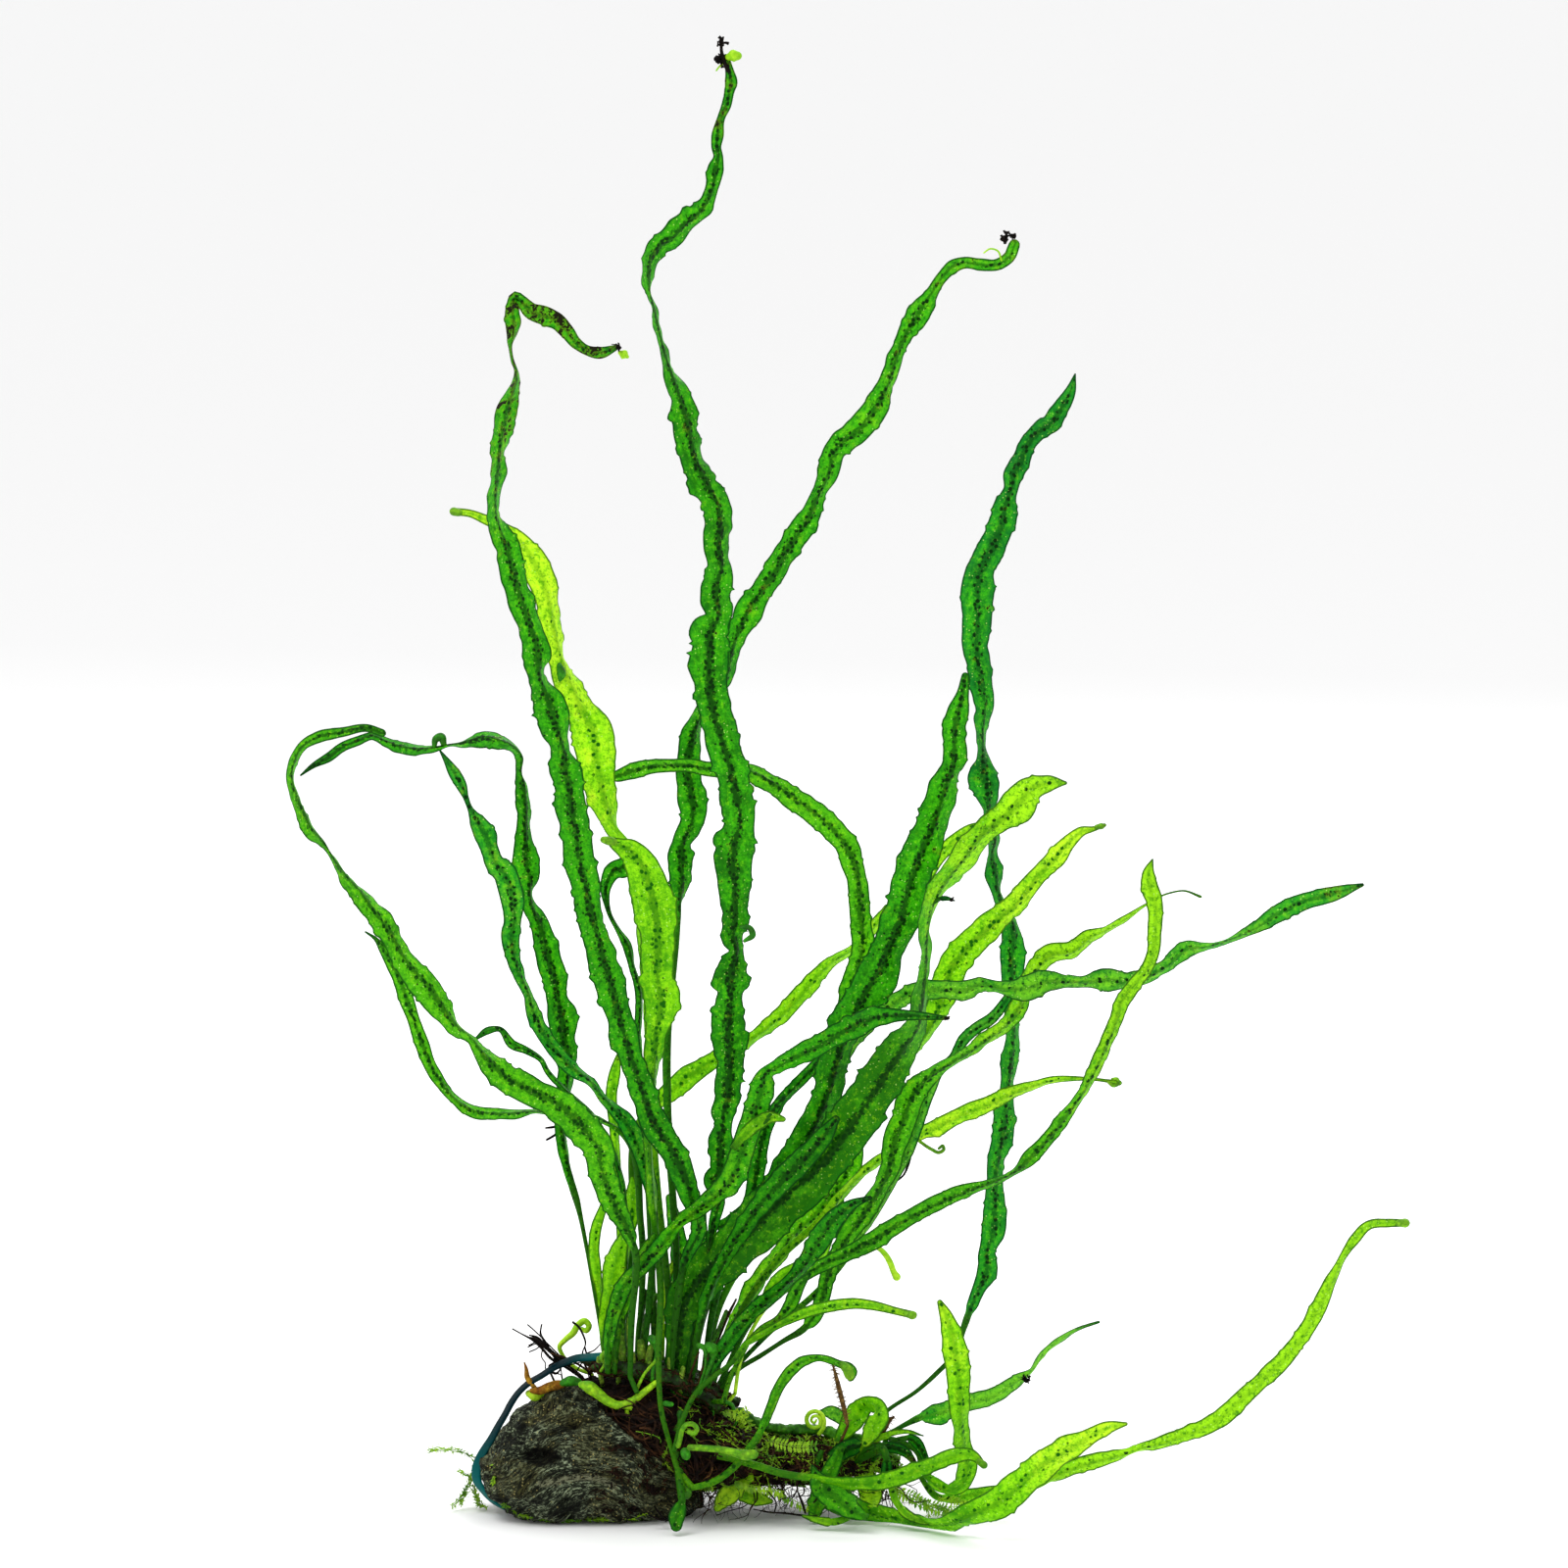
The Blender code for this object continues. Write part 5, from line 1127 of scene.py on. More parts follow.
leaf("crown_old_one", OLD, -3, 11, [
    (717, 1236, 4), (713, 1260, 9), (707, 1288, 11), (701, 1315, 10), (698, 1345, 8), (697, 1380, 6),
    (698, 1412, 4)],
    youth=(0.2, 0.1, 0.1), spots=0.7)
leaf("crown_old_two", OLD, 5, 9, [
    (683, 1222, 4), (689, 1248, 8), (693, 1274, 9), (692, 1300, 7), (689, 1335, 5), (686, 1400, 3)],
    youth=(0.4, 0.3, 0.2), spots=0.7)
leaf("crown_spotted", GREEN, -13, 7, [
    (667, 1261, 3), (661, 1272, 6), (655, 1287, 7), (650, 1303, 6), (642, 1322, 6), (633, 1348, 5),
    (628, 1380, 4), (627, 1400, 3)],
    youth=(0.6, 0.5, 0.4), spots=0.7)
leaf("crown_pale", YOUNG, 3, 4,
     [(693, 1281, 2), (687, 1291, 4), (681, 1301, 4), (678, 1330, 3), (675, 1400, 3)],
     youth=(1.3, 1.1, 0.5), spots=0.1)
leaf("frill_at_the_fold", YOUNG, -15, 7,
     [(799, 1142, 3), (787, 1140, 6), (773, 1146, 7), (760, 1158, 6), (748, 1172, 4)],
     youth=(0.5, 0.4, 0.3), spots=0.1, frill=2.0, rooted=False)
leaf("plantlet_at_the_fold", OLD, -14.6, 5, [(800, 1119, 2), (793, 1127, 5), (787, 1136, 5), (779, 1146, 3)],
     youth=(0.3, 0.0, -0.2), frill=1.5, rooted=False)
leaf("dark_hanging", DARK, -14, 5,
     [(903, 1514, 3), (904, 1505, 5.5), (905, 1494, 5.5), (904, 1485, 5), (901, 1478, 4)],
     youth=(0.0, -0.1, -0.1))
leaf("spiked_clump", GREEN, -18, 12, [
    (829, 1496, 1.5), (832, 1503, 5), (838, 1512, 10), (848, 1524, 14), (860, 1534, 12), (873, 1543, 8),
    (886, 1549, 4)],
    youth=(0.0, 0.15, 0.2), spots=0.4, frill=1.5, rooted=False)
leaf("clump_behind", GREEN, -11, 9,
     [(830, 1552, 4), (832, 1538, 9), (840, 1518, 9), (850, 1496, 8), (858, 1478, 5)],
     youth=(0.5, 0.3, 0.2), spots=0.4, frill=1.5)
leaf("dark_clump_behind", OLD, -8, 9,
     [(848, 1500, 4), (852, 1490, 9), (860, 1481, 10), (872, 1476, 8), (884, 1474, 4)],
     youth=(0.0, -0.1, -0.2), frill=1.5)
leaf("bright_lobe", YOUNG, -13, 8,
     [(733, 1538, 5), (738, 1531, 9), (745, 1523, 10), (755, 1516, 8), (766, 1509, 4)],
     youth=(1.5, 1.3, 0.9), spots=0.0, frill=2.0)
leaf("olive_lobe", YOUNG, -12, 7,
     [(786, 1532, 3), (775, 1530, 7), (763, 1526, 9), (752, 1518, 7), (748, 1510, 4)],
     youth=(0.9, 0.6, 0.3), spots=0.4, frill=2.0)
leaf("lying_strip", GREEN, -16, 5, [(820, 1547, 2), (835, 1551, 4), (850, 1553, 5), (866, 1549, 3)],
     youth=(1.3, 1.1, 0.7), spots=0.3, frill=2.0)
leaf("low_loop", GREEN, -15, 5, [
    (956, 1554, 3), (940, 1552, 4), (925, 1545, 5), (915, 1533, 5), (910, 1521, 4), (908, 1514, 3)],
    youth=(0.9, 0.9, 0.9), spots=0.2, rooted=False)
leaf("dead_strip", OLD, -9, 6,
     [(932, 1491, 3), (925, 1483, 5), (911, 1477, 6), (897, 1476, 5), (884, 1478, 3)],
     youth=(-0.2, -0.2, -0.2), decay=(0.6, 0.5, 0.5), frill=2.5)
leaf("dark_strip", OLD, -8, 6,
     [(945, 1491, 4), (940, 1480, 5), (932, 1470, 5), (920, 1468, 3), (905, 1474, 3)],
     youth=(0.0, -0.1, -0.2), decay=(0.2, 0.3, 0.4), frill=2.5)
leaf("thin_strip", GREEN, -9, 4,
     [(942, 1465, 0.8), (930, 1462, 2), (915, 1462, 3), (898, 1467, 4), (884, 1471, 3)],
     youth=(1.0, 1.2, 1.1), spots=0.3, frill=2.0)
leaf("spiky_bit", TEAL, -9, 3, [(974, 919, 0.8), (966, 917, 2.5), (957, 918, 3), (950, 922, 3)],
     youth=(0.0, 0.0, 0.0), rooted=False)

# The stalks at the crown
# Scaly stalks and broken stumps of old leaves, thick as a needle, packed between the young leaves.

scaly_stalk = rhizome_finish("scaly_stalk", (0.014, 0.10, 0.003, 1), (0.085, 0.36, 0.008, 1), 0.5)
olive_stump = rhizome_finish("olive_stump", (0.09, 0.26, 0.006, 1), (0.38, 0.62, 0.05, 1), 0.45)


def rooted_strand(depth, line, step=2.0):
    """Like a drawn strand, but its last end is led into the nearest stem, mat or stone."""
    path, radii = drawn(depth, line, step)
    path, radii = path[:-3], radii[:-3]
    near, normal, _, _ = carrier.find_nearest(path[-1])
    return path + [near - normal * 0.0004], radii + [radii[-1]]


STALKS = [
    (-0.0040, [(640, 1300, 3), (636, 1330, 3.5), (634, 1360, 3.5), (632, 1395, 3)]),
    (-0.0020, [(647, 1312, 3), (644, 1350, 3.5), (643, 1395, 3)]),
    (0.0010, [(658, 1318, 3), (653, 1350, 3.5), (650, 1395, 3)]),
    (-0.0010, [(669, 1322, 3), (660, 1345, 3.5), (656, 1372, 3.5), (654, 1398, 3)]),
    (-0.0065, [(625, 1335, 3), (625, 1365, 3.5), (627, 1395, 3)]),
    (0.0040, [(664, 1290, 3), (667, 1330, 3.5), (669, 1395, 3)]),
    (0.0030, [(703, 1330, 3), (700, 1365, 3.5), (698, 1405, 3)]),
    (-0.0055, [(741, 1338, 2), (733, 1358, 2.5), (722, 1385, 3), (714, 1412, 3)]),
    (-0.0030, [(716, 1352, 3), (710, 1375, 3.5), (705, 1408, 3)])]
STUMPS = [
    (-0.0060, [(634, 1366, 3.5), (635, 1381, 4), (636, 1400, 3)]),
    (-0.0050, [(654, 1370, 4), (655, 1385, 4.5), (657, 1400, 3.5)]),
    (-0.0062, [(664, 1374, 3), (662, 1386, 3.5), (661, 1402, 3)]),
    (-0.0070, [(622, 1378, 2.5), (623, 1390, 3), (624, 1402, 3)]),
    (-0.0066, [(645, 1382, 3), (646, 1392, 3.5), (646, 1405, 3)]),
    (-0.0060, [(674, 1380, 2.5), (672, 1392, 3), (671, 1405, 3)]),
    (-0.0050, [(611, 1386, 2.5), (612, 1396, 3), (613, 1406, 2.5)]),
    (-0.0064, [(684, 1387, 3), (683, 1398, 3), (682, 1412, 3)]),
    (-0.0040, [(641, 1345, 1.5), (641, 1356, 2), (642, 1372, 2.5), (643, 1396, 2.5)]),
    (-0.0070, [(697, 1396, 2.5), (695, 1407, 3), (694, 1420, 3)]),
    (-0.0052, [(629, 1388, 2), (630, 1396, 2.5), (631, 1406, 2.5)])]
TWIGS = [
    (-0.0074, [(713, 1380, 1), (706, 1398, 1.2), (700, 1420, 1.2)]),
    (-0.0078, [(722, 1386, 0.9), (716, 1400, 1.2), (711, 1422, 1)]),
    (-0.0070, [(718, 1394, 0.8), (719, 1408, 1), (715, 1426, 1)]),
    (-0.0072, [(728, 1390, 0.8), (720, 1410, 1), (722, 1430, 1)]),
    (-0.0050, [(751, 1326, 1.2), (741, 1346, 2), (733, 1366, 1.6), (722, 1390, 1.6), (714, 1418, 1.4)]),
    (-0.0040, [(689, 1332, 1), (686, 1340, 2), (684, 1348, 1.4), (683, 1396, 1)])]
stalks = strand_mesh("crown_stalks", [rooted_strand(*stalk) for stalk in STALKS], 10)
finish_piece(stalks, scaly_stalk, "green_leaf")
stumps = strand_mesh("crown_stumps", [rooted_strand(*stump) for stump in STUMPS], 10)
finish_piece(stumps, olive_stump, "young_frond")
twigs = [rooted_strand(*twig) for twig in TWIGS]

# Fine roots felted over the crown, between the stumps.
crown_tree = packed_tree("rhizome_main", "rhizome_near", "rhizome_back")
for _ in range(260):
    start = somewhere((598, 760), (1385, 1440), (-0.010, 0.008))
    thick = chance.choice([0.00009, 0.00013, 0.0002])
    length, lift = chance.uniform(0.002, 0.006), chance.uniform(0.0001, 0.0007)
    twigs.append(fibre(crown_tree, thick, start, length, lift, 1.0))
finish_piece(strand_mesh("crown_roots", twigs, 5), root_brown, "roots")

# The fronds that are still opening
# Pale green tips, rolled up like watch springs or just stretched to a finger, covered in fine scales.

frond_green = rhizome_finish("bright_frond_green", (0.07, 0.29, 0.005, 1), (0.26, 0.60, 0.012, 1), 0.3)
frond_pale = rhizome_finish("pale_frond_green", (0.30, 0.66, 0.01, 1), (0.62, 0.95, 0.04, 1), 0.1)
frond_dark = rhizome_finish("dark_frond_green", (0.012, 0.16, 0.004, 1), (0.05, 0.36, 0.008, 1), 0.3)
FRONDS = [
    ("front_finger", frond_green, "frond_finger_front", [
        (-0.0182, [(769, 1484, 5), (762, 1485, 5.5), (752, 1483, 4.5), (740, 1480, 3.6), (722, 1478, 3.4),
                   (704, 1477, 3.2)])]),
    ("right_finger", frond_pale, "frond_finger_right", [
        (-0.0045, [(915, 1303, 4.2), (912, 1298, 3.2), (909, 1290, 3.2), (904, 1281, 3), (897, 1274, 2.6),
                   (888, 1271, 2.2), (863, 1280, 2), (833, 1294, 2), (804, 1312, 2), (782, 1334, 2),
                   (765, 1362, 2), (754, 1395, 2), (750, 1422, 2)])]),
    ("stone_curl", frond_green, "crozier_stone", [
        (-0.0172, [(703, 1461, 2.6), (708, 1463, 2.6), (711, 1458, 2.6), (706, 1453, 2.6),
                   (700, 1454, 2.6), (696, 1460, 2.6), (694, 1468, 2.6), (692, 1475, 2.8)])]),
    ("pale_curl", frond_pale, "crozier_pale_left", [
        (0.0040, [(594, 1356, 2.2), (598, 1358, 2.8), (601, 1353, 3.2), (597, 1348, 3.4),
                  (590, 1352, 3.6), (585, 1360, 3.6), (577, 1367, 3), (571, 1374, 2.6), (575, 1384, 2),
                  (590, 1397, 2), (604, 1402, 2)])]),
    ("spiral_curl", frond_pale, None, [
        (-0.0008, [(833, 1449, 1.2), (831, 1452, 1.4), (828, 1450, 1.5), (829, 1446, 1.7),
                   (834, 1445, 1.9), (837, 1449, 2), (836, 1455, 2.1), (830, 1457, 2.2), (825, 1454, 2.3),
                   (823, 1448, 2.3), (826, 1442, 2.3), (832, 1440, 2.3), (838, 1443, 2.3),
                   (841, 1450, 2.3), (840, 1457, 2.3), (836, 1463, 2.3)])]),
    ("crown_curl", frond_green, None, [
        (-0.0078, [(617, 1388, 2.6), (621, 1387, 2.8), (622, 1382, 2.8), (617, 1381, 3), (614, 1386, 3),
                   (617, 1391, 2), (613, 1399, 1.5)])]),
    ("crown_buds", frond_dark, None, [
        (-0.0105, [(723, 1374, 5), (727, 1377, 6.5), (728, 1382, 4), (722, 1400, 1.8), (714, 1422, 1.8)]),
        (-0.0105, [(713, 1373, 3), (718, 1375, 3), (720, 1386, 1.5), (713, 1418, 1.5)]),
        (-0.0095, [(665, 1366, 4.5), (668, 1369, 5.5), (669, 1374, 3), (666, 1400, 1.8)]),
        (-0.0150, [(679, 1432, 3), (685, 1433, 2.6)]),
        (-0.0175, [(699, 1482, 5), (700, 1485, 5)])]),
    ("green_bud", frond_dark, None, [(-0.0055, [(575, 1411, 4), (583, 1409, 5.5), (590, 1410, 4)])]),
    ("yellow_bud", frond_pale, None, [(-0.0030, [(540, 1422, 4), (546, 1424, 6), (552, 1422, 4)])]),
    ("knobs_on_leaves", frond_dark, None, [
        (leaning(-4, 571, 685) - 0.0007, [(570, 680, 4), (572, 688, 5.5), (570, 694, 3)]),
        (leaning(-7.5, 764, 952), [(756, 946, 2), (765, 947, 3), (768, 954, 3.4), (760, 960, 2)])]),
    ("left_bridge_bud", frond_dark, None, [
        (leaning(7, 448, 754), [(443, 762, 2.4), (445, 754, 4), (450, 752, 4.5), (453, 760, 3)])]),
    ("low_right_curl", frond_green, None, [
        (leaning(6, 941, 1160), [(958, 1172, 1.5), (962, 1169, 1.7), (963, 1173, 1.9), (958, 1176, 1.9),
                                 (951, 1173, 1.9), (943, 1168, 1.8), (936, 1162, 1.8), (933, 1157, 1.6)]),
        (leaning(6, 1138, 1104), [(1135, 1101, 1.4), (1140, 1101, 1.8), (1141, 1106, 1.8),
                                  (1136, 1108, 1.8), (1131, 1104, 1.8)])]),
    ("club_tips", frond_green, None, [
        (leaning(-20, 866, 1400), [(860, 1393, 4), (865, 1398, 5.5), (867, 1403, 5.5)]),
        (leaning(-24, 930, 1342), [(926, 1341, 3.6), (931, 1342, 4.6)]),
        (leaning(-6, 1432, 1248), [(1428, 1248, 4), (1434, 1248, 4.8)]),
        (leaning(-4, 465, 522), [(463, 522, 4.4), (468, 523, 4)]),
        (leaning(-9.9, 620, 857), [(616, 857, 3.6), (621, 858, 4.6), (626, 859, 4)]),
        (leaning(2, 1122, 843), [(1119, 844, 2.6), (1124, 843, 3.4)]),
        (leaning(-13, 1003, 1494), [(999, 1491, 3.6), (1004, 1495, 4)])])]

# These have thin stalks of their own, which are led into what carries them.
STALKED = ["right_finger", "pale_curl", "crown_curl", "crown_buds"]
THIN_STALK = 2
for name, finish, node, lines in FRONDS:
    strands = []
    for depth, line in lines:
        stalked = name in STALKED and line[-1][2] <= THIN_STALK
        strands.append(rooted_strand(depth, line, 1.0) if stalked else drawn(depth, line, 1.0))
    frond = strand_mesh(name, strands, 12)
    finish_piece(frond, finish, "young_frond", *([node] if node else []))

# The moss
# Stray shoots of moss at the stone's left foot and under the mat's right end: thin stems with
# two rows of pointed leaflets, each about a millimetre long.


def moss_finish():
    finish, tree = new_finish("moss_green")
    where = wire(tree, "TexCoord").outputs["Object"]
    broad = speckle(tree, where, 240, 3, 0.6)
    fine = speckle(tree, where, 2400, 3, 0.6)
    colour = tint(tree, ease(tree, broad, 0.35, 0.65), (0.10, 0.33, 0.006, 1), (0.46, 0.80, 0.02, 1))
    colour = tint(tree, ease(tree, fine, 0.4, 0.7, 0.4, 0.0), colour, (0.02, 0.05, 0.004, 1))
    skin = wire(tree, "BsdfPrincipled", {"Base Color": colour, "Roughness": 0.5, "Specular IOR Level": 0.3})
    show_through(tree, 0.35, skin, {"Color": colour})
    return finish


LOWEST_LEAFLET = 0.0004


def moss_shoot(points, faces, path, leaflet):
    """Adds one shoot to lists of points and faces: a thin stem with leaflets all along it."""
    for i in range(len(path) - 1):
        start, way = path[i], (path[i + 1] - path[i])
        length = way.length
        way.normalize()
        for _ in range(max(1, int(length / (leaflet * 0.3)))):
            base = start + way * chance.uniform(0, length)
            turn = chance.uniform(0, 2 * math.pi)
            side = way.orthogonal().normalized()
            side = side * math.cos(turn) + way.cross(side) * math.sin(turn)
            tip = base + (side * 0.8 + way * 0.6).normalized() * leaflet * chance.uniform(0.6, 1.1)
            wide = (tip - base).cross(way).normalized() * leaflet * 0.17
            middle = base.lerp(tip, 0.4) + way * leaflet * 0.08
            spots = [base, middle + wide, tip, middle - wide]
            first = len(points)
            points += above(LOWEST_LEAFLET, spots)
            faces += [(first, first + 1, first + 2), (first, first + 2, first + 3)]
        first = len(points)
        thin = way.orthogonal().normalized() * 0.00007
        other = way.cross(thin)
        for place in (start, path[i + 1]):
            points += [place + thin, place + other, place - thin, place - other]
        faces += between_rings(first, first + 4, 4)


def comb(points, faces, path, leaflet, gap, sides):
    """Adds flat leaflets that stand side by side along a stem, below it (1) or above it (-1)."""
    for start, end in zip(path, path[1:]):
        way = (end - start).normalized()
        below = way.cross(EYE - start).normalized()
        if below.z > 0:
            below.negate()
        for k in range(max(1, round((end - start).length / gap))):
            base = start + way * gap * (k + chance.uniform(0.2, 0.8))
            for sign in sides:
                out = (below * sign + way * 0.3 + Vector((0, chance.uniform(-0.5, 0.3), 0))).normalized()
                tip = base + out * leaflet * chance.uniform(0.75, 1.1)
                wide = way * leaflet * 0.20
                near, far = base.lerp(tip, 0.35), base.lerp(tip, 0.75)
                spots = [base, near + wide, far + wide * 0.7, tip, far - wide * 0.7, near - wide]
                faces.append(tuple(range(len(points), len(points) + 6)))
                points += above(LOWEST_LEAFLET, spots)


def seen_on(tree, column, row):
    """The nearest surface seen at a place in the picture, or else the surface beside that place."""
    hit = tree.ray_cast(EYE, (in_space(column, row, 0) - EYE).normalized())[0]
    return hit if hit is not None else tree.find_nearest(in_space(column, row, -0.010))[0]


def clinging(path):
    """Leads a shoot's nearer end into the stone, the mat or a stem, or else down to the ground."""
    feet = []
    for end in (path[0], path[-1]):
        near, normal, _, gap = carrier.find_nearest(end)
        ground = Vector((end.x, end.y, 0.0003))
        feet.append((gap, near - normal * SUNK_IN) if gap < end.z else (end.z, ground))
    return [feet[0][1]] + path if feet[0][0] <= feet[1][0] else path + [feet[1][1]]


moss_green = moss_finish()
LOWEST_MOSS = 0.0006
MOSS = {
    "moss_left": [(0.0015, [(435, 1480), (448, 1478), (462, 1480), (475, 1484), (486, 1489)]),
                  (0.0015, [(470, 1543), (474, 1530), (480, 1518), (486, 1508), (491, 1498)]),
                  (0.0010, [(462, 1538), (470, 1528), (478, 1512), (484, 1500)]),
                  (0.0020, [(488, 1545), (484, 1530), (482, 1515), (486, 1500)]),
                  (0.0005, [(498, 1542), (490, 1535), (484, 1522)]),
                  (0.0018, [(468, 1500), (476, 1506), (484, 1508)])],
    "moss_right": [(-0.0060, [(905, 1508), (915, 1520), (925, 1528), (938, 1534), (950, 1540)]),
                   (-0.0064, [(930, 1524), (945, 1534), (958, 1538), (970, 1544)]),
                   (-0.0055, [(958, 1530), (972, 1532), (984, 1536), (992, 1540)]),
                   (-0.0058, [(962, 1546), (974, 1542), (986, 1540), (994, 1546)]),
                   (-0.0060, [(975, 1528), (982, 1538), (985, 1548)])]}
for node, shoots in MOSS.items():
    points, faces = [], []
    for depth, line in shoots:
        for _ in range(3):
            path = []
            for column, row in line:
                beside, below = column + chance.uniform(-3, 3), row + chance.uniform(-3, 3)
                path.append(in_space(beside, below, depth + chance.uniform(-0.001, 0.001)))
            moss_shoot(points, faces, clinging(above(LOWEST_MOSS, path)), 0.0010)
    moss = new_piece(node.replace("moss", "moss_tuft"), points, faces, smooth=False)
    finish_piece(moss, moss_green, "moss", node)

# Moss that clings to the foot of the stone, creeps over the mat and combs out at its ends.
points, faces = [], []
STONE_MOSS = [
    [(512, 1538), (520, 1544), (529, 1548), (538, 1551)],
    [(546, 1549), (556, 1552), (566, 1553), (574, 1553)],
    [(572, 1552), (582, 1554), (592, 1554)], [(518, 1546), (526, 1549), (533, 1552)],
    [(640, 1548), (650, 1550), (660, 1550)],
    [(490, 1504), (488, 1512), (491, 1522)], [(478, 1480), (484, 1486), (488, 1496)],
    [(600, 1553), (612, 1552), (624, 1551)]]
for line in STONE_MOSS:
    for _ in range(3):
        path = []
        for column, row in line:
            seen = seen_on(stone_tree, column + chance.uniform(-3, 3), row + chance.uniform(-2, 2))
            path.append(seen + Vector((0, -0.0005, -0.0003)))
        moss_shoot(points, faces, clinging(above(LOWEST_MOSS, path)), 0.0010)
for k in range(430):
    start = somewhere((640 if k % 2 else 715, 925), (1440, 1530), (-0.014, 0.004))
    length, lift = chance.uniform(0.002, 0.006), chance.uniform(0.0003, 0.0010)
    path, _ = fibre(mat_tree, 0.0001, start, length, lift, 1.0)
    moss_shoot(points, faces, path, chance.uniform(0.0006, 0.0010))

# Each comb: depth, length of its leaflets, gap between them, their sides, and where its stem runs.
COMBS = [
    (-0.0110, 0.0013, 0.00055, (1,), [(908, 1518), (917, 1522), (927, 1527), (938, 1533), (949, 1537),
                                      (960, 1541), (971, 1544)]),
    (-0.0106, 0.0009, 0.00055, (1, -1), [(908, 1516), (920, 1521), (934, 1527), (946, 1533), (958, 1537),
                                         (970, 1541)]),
    (-0.0100, 0.0008, 0.0005, (1, -1), [(957, 1538), (968, 1538), (980, 1537), (991, 1535)]),
    (-0.0075, 0.0014, 0.0005, (1,), [(736, 1441), (743, 1439), (750, 1440), (755, 1444)]),
    (-0.0070, 0.0010, 0.0006, (1, -1), [(748, 1440), (756, 1443), (762, 1449), (766, 1457)]),
    (-0.0072, 0.0009, 0.0006, (1, -1), [(752, 1446), (758, 1442), (764, 1438)]),
    (-0.0112, 0.0011, 0.0005, (1, -1), [(786, 1470), (796, 1473), (808, 1476), (820, 1477), (832, 1476)]),
    (-0.0112, 0.0014, 0.0005, (1,), [(750, 1511), (762, 1515), (774, 1517), (786, 1519), (800, 1522)]),
    (-0.0104, 0.0013, 0.0006, (1,), [(786, 1520), (800, 1526), (812, 1532), (826, 1538)])]
for depth, leaflet, gap, sides, line in COMBS:
    path = [in_space(column, row, depth) for column, row in line]
    comb(points, faces, path, leaflet, gap, sides)
    moss_shoot(points, faces, clinging(path), 0.0004)
finish_piece(new_piece("creeping_moss", points, faces, smooth=False), moss_green, "moss")

# The stiff roots at the upper left
# A bundle of old black roots, dry and wiry, that stick out past the rhizome's end, with brown
# fibres, a dead orange leaf end and a tan spike where they cross the tie.

STIFF_ROOTS = [
    [(523, 1356, 0.9), (532, 1361, 1.4), (543, 1367, 2.2), (553, 1376, 2.6), (562, 1386, 2.8),
     (574, 1393, 2.6), (590, 1404, 2)],
    [(540, 1363, 1.2), (547, 1365, 2.6), (556, 1373, 2.4), (565, 1381, 2.2), (577, 1392, 2),
     (592, 1403, 1.6)],
    [(539, 1351, 0.6), (548, 1359, 0.9), (556, 1367, 1.2), (564, 1375, 1.3), (573, 1384, 1.3),
     (588, 1400, 1.2)],
    [(553, 1351, 0.7), (552, 1360, 0.9), (557, 1369, 0.9), (563, 1379, 1), (572, 1394, 1)],
    [(539, 1374, 0.6), (546, 1371, 0.7), (552, 1371, 0.9), (560, 1377, 0.9)],
    [(540, 1380, 0.6), (547, 1377, 0.7), (553, 1373, 0.9), (562, 1378, 0.9)],
    [(553, 1377, 1), (552, 1386, 1), (556, 1393, 1.1), (556, 1398, 1.1), (561, 1401, 1.1), (572, 1404, 1)],
    [(560, 1394, 1.6), (566, 1391, 1.6), (572, 1396, 1.6), (567, 1402, 1.6), (560, 1398, 1.4)],
    [(584, 1350, 0.6), (590, 1355, 0.8), (594, 1362, 0.8), (597, 1372, 0.9), (594, 1381, 0.9),
     (596, 1392, 0.9), (602, 1404, 0.8)],
    [(597, 1374, 0.6), (600, 1384, 0.8), (606, 1394, 0.8), (612, 1402, 0.8)]]
BROWN_FIBRES = [
    [(563, 1381, 0.8), (574, 1385, 1.3), (588, 1391, 1.3), (604, 1402, 1)],
    [(572, 1383, 0.7), (584, 1388, 1), (598, 1388, 1), (612, 1399, 1)],
    [(614, 1370, 0.6), (606, 1378, 0.8), (598, 1382, 0.9), (596, 1390, 0.9), (600, 1400, 0.8)],
    [(566, 1390, 0.9), (580, 1396, 1.2), (594, 1404, 1)]]
stiff = []
for depth in (0.0008, 0.0019):
    for line in STIFF_ROOTS:
        slip = chance.uniform(-1.5, 1.5)
        thin = [(column + slip * 0.5, row - slip, max(half * 0.55, 0.7)) for column, row, half in line]
        branch = line[-1][1] < 1390
        stiff.append(drawn(depth, thin, 1.5) if branch else rooted_strand(depth, thin, 1.5))
wiry = fibre_finish("black_wiry_root", (0.002, 0.0012, 0.001, 1), (0.012, 0.006, 0.004, 1), 2600)
finish_piece(strand_mesh("stiff_roots", stiff, 8), wiry, "roots", "root_tuft_left")
brown = [rooted_strand(0.0010 + chance.uniform(-0.0015, 0.0005), line, 1.5) for line in BROWN_FIBRES]
finish_piece(strand_mesh("brown_fibres", brown, 6), root_brown, "roots")
orange = fibre_finish("orange_dead_leaf", (0.20, 0.065, 0.006, 1), (0.52, 0.30, 0.02, 1), 1500)
dead = [drawn(-0.0044, [(543, 1419, 3), (551, 1419, 4.5), (561, 1415, 5), (570, 1413, 5), (577, 1412, 3)]),
        drawn(-0.0036, [(535, 1390, 0.7), (537, 1397, 2), (538, 1405, 3), (543, 1413, 2.6), (548, 1418, 2)])]
finish_piece(strand_mesh("dead_leaf_end", dead, 8), orange, "roots")

# The loose brown bits
# A bristly brown spike and a torn brown leaf base on the mat, dark roots that hang under it and
# lie at the stone's foot, and a few dead twigs caught in the leaves.

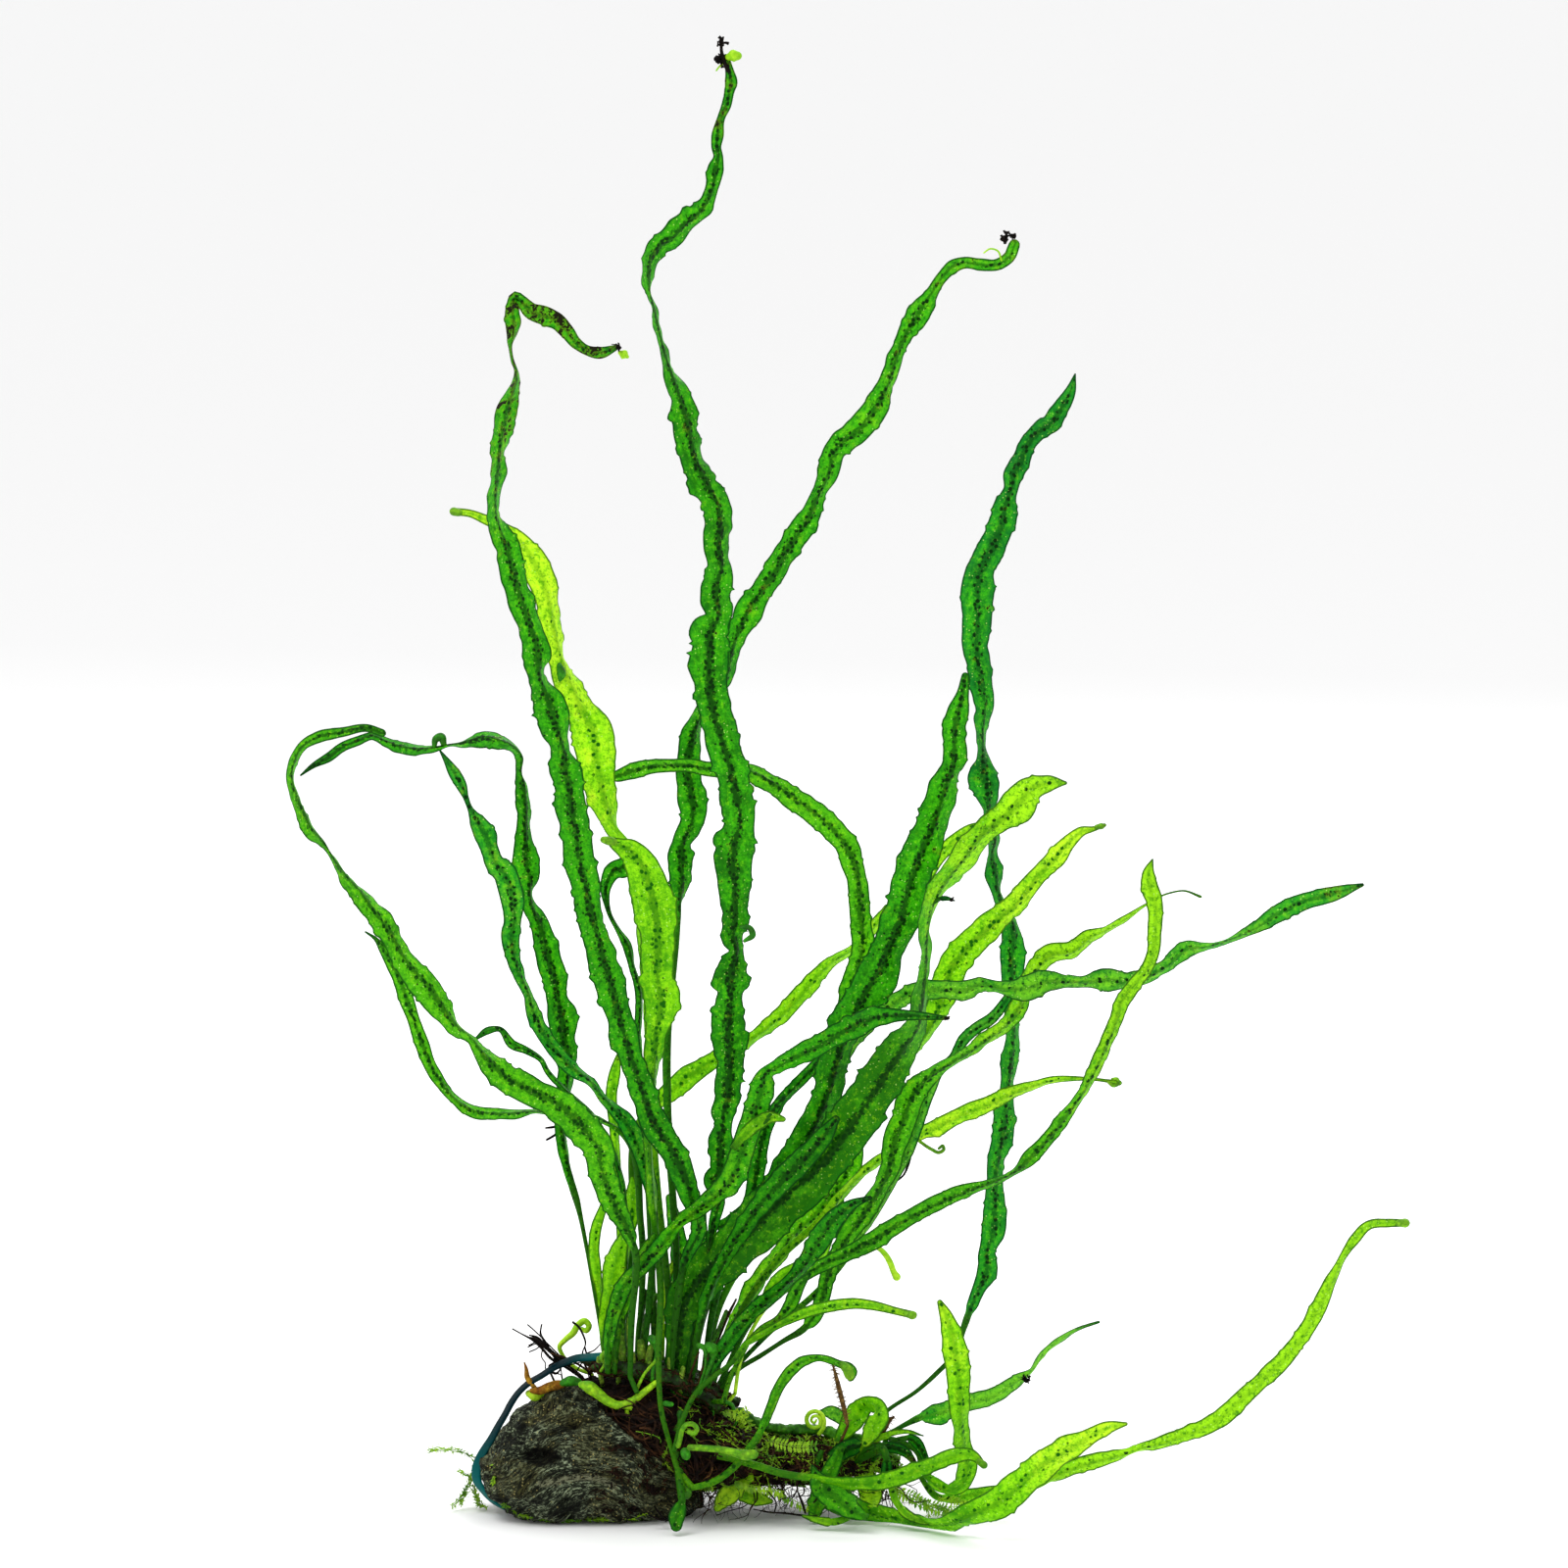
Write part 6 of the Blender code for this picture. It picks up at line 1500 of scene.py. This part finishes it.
bristly = [rooted_strand(-0.0075, [(850, 1393, 1), (854, 1408, 2.2), (859, 1428, 2.6), (863, 1445, 2.2),
                                   (865, 1455, 1.6)]),
           rooted_strand(-0.0082, [(912, 1446, 1), (907, 1449, 3), (902, 1456, 4.4), (898, 1464, 2.4)])]
for path, radii in list(bristly):
    for k in range(1, len(path) - 2):
        for _ in range(2):
            out = random_way((-1, 0.6), (-0.6, 0.6), (-0.6, 0.3))
            tip = path[k] + out * (radii[k] + chance.uniform(0.0003, 0.0009))
            bristly.append(([path[k], path[k].lerp(tip, 0.5), tip], [0.00008, 0.00006, 0.00003]))
finish_piece(strand_mesh("bristly_spikes", bristly, 6), root_tan, "roots")
dead_twigs = [
    drawn(-0.0125, [(769, 1540, 0.6), (784, 1543, 0.9), (800, 1544, 1), (816, 1546, 1.1), (834, 1547, 0.8)]),
    drawn(-0.0120, [(814, 1522, 0.8), (818, 1532, 1.4), (822, 1544, 1)]),
    drawn(-0.0118, [(784, 1522, 0.6), (792, 1534, 0.9), (790, 1544, 0.7)]),
    rooted_strand(-0.0145, [(662, 1546, 0.8), (672, 1550, 1.1), (686, 1552, 0.8)]),
    rooted_strand(-0.0145, [(670, 1541, 0.7), (676, 1548, 1), (680, 1553, 0.8)]),
    drawn(leaning(6, 930, 1176), [(935, 1157, 1), (930, 1176, 1.4), (927, 1188, 1.4), (922, 1199, 1.2),
                                  (913, 1207, 0.8)]),
    drawn(leaning(7, 566, 1152), [(557, 1151, 1), (565, 1150, 1.4), (573, 1148, 1.2)]),
    drawn(leaning(7, 566, 1156), [(558, 1163, 1.2), (565, 1159, 1.4), (574, 1152, 1.2)]),
    drawn(leaning(-7.5, 738, 52), [(738, 38, 1), (736, 48, 1.6), (738, 60, 2), (743, 72, 2.4)])]
finish_piece(strand_mesh("dead_twigs", dead_twigs, 6), wiry, "roots")
hood = [rooted_strand(-0.0068, [(728, 1444, 1.2), (730, 1435, 1.8), (738, 1431, 2.2), (746, 1433, 2.2),
                                (750, 1441, 1.6), (752, 1450, 1.4)])]
finish_piece(strand_mesh("dark_hood", hood, 8), frond_dark, "young_frond")

# The dead bits at the leaf tips
# Black, crumbled tissue with a few frayed threads at the ends of the oldest leaves, and a few
# little plantlets that have started there.


def frayed(lane, column, row, size, count):
    """Short crooked threads bundled round a place in the picture, size pixels across."""
    middle = in_space(column, row, leaning(lane, column, row))
    threads = []
    for _ in range(count):
        off = Vector((chance.gauss(0, 1), chance.gauss(0, 0.7), chance.gauss(0, 1)))
        place = middle + off * size * PIXEL * 0.35
        way, path = (middle - place).normalized(), []
        for _ in range(7):
            path.append(place.copy())
            way = (way + noise.noise_vector(place / 0.0006) * 1.2).normalized()
            place = place + way * size * PIXEL * 0.16
        threads.append((path, taper(len(path), chance.uniform(0.7, 2.0) * PIXEL, 0.4)))
    return threads


tufts = frayed(-7.5, 736, 44, 7, 14) + frayed(-7.5, 735, 60, 8, 26) + frayed(-7.5, 741, 68, 5, 10)
tufts += frayed(3, 1026, 243, 8, 26) + frayed(3, 1034, 241, 5, 10) + frayed(-12, 631, 354, 6, 14)
tufts += frayed(3, 1046, 1407, 7, 16) + frayed(-14, 966, 1039, 4, 8) + frayed(-9, 971, 918, 3, 6)
finish_piece(strand_mesh("frayed_tips", tufts, 5), wiry, "roots")
plantlets = strand_mesh("plantlets", [
    drawn(leaning(-7.5, 748, 57), [(744, 58, 4), (748, 57, 6.5), (752, 57, 5)], 1.0),
    drawn(leaning(-7.5, 736, 66), [(731, 72, 0.8), (734, 68, 0.9), (739, 64, 1)], 1.0),
    drawn(leaning(-12, 637, 362), [(633, 360, 2.5), (637, 362, 5), (640, 364, 2)], 1.0),
    drawn(leaning(3, 1010, 256), [(1004, 258, 0.8), (1010, 254, 0.9), (1018, 256, 1), (1022, 266, 1)],
          1.0)], 8)
finish_piece(plantlets, frond_pale, "young_frond")

# Light and floor
# A soft white room: a broad light above and in front, another behind that shines through the
# leaves, and a pale floor that runs to the horizon.

floor = new_piece("floor", [(-9, -3, 0), (9, -3, 0), (9, 30, 0), (-9, 30, 0)], [(0, 1, 2, 3)], smooth=False)
floor_white, tree = new_finish("floor_white")
show(tree, wire(tree, "BsdfPrincipled", {
    "Base Color": (0.93, 0.93, 0.93, 1), "Roughness": 0.9, "Specular IOR Level": 0.1}))
floor.data.materials.append(floor_white)


PLANT_MIDDLE = Vector((0.04, 0, 0.1))


def soft_light(name, place, size, power):
    """A square light that faces the middle of the plant."""
    light = bpy.data.lights.new(name, "AREA")
    light.shape = "SQUARE"
    light.size = size
    light.energy = power
    lamp = placed(name, light)
    lamp.location = place
    lamp.rotation_euler = (PLANT_MIDDLE - Vector(place)).to_track_quat("-Z", "Y").to_euler()


soft_light("light_above", (-0.35, -0.45, 0.9), 0.5, 4.5)
soft_light("light_behind", (0.25, 0.7, 0.75), 0.7, 5.0)

room = bpy.data.worlds.new("room")
room.use_nodes = True
room.node_tree.nodes["Background"].inputs[0].default_value = (1, 1, 1, 1)
room.node_tree.nodes["Background"].inputs[1].default_value = 1.0
bpy.context.scene.world = room
bpy.context.scene.view_settings.view_transform = "Standard"

bpy.context.view_layer.update()
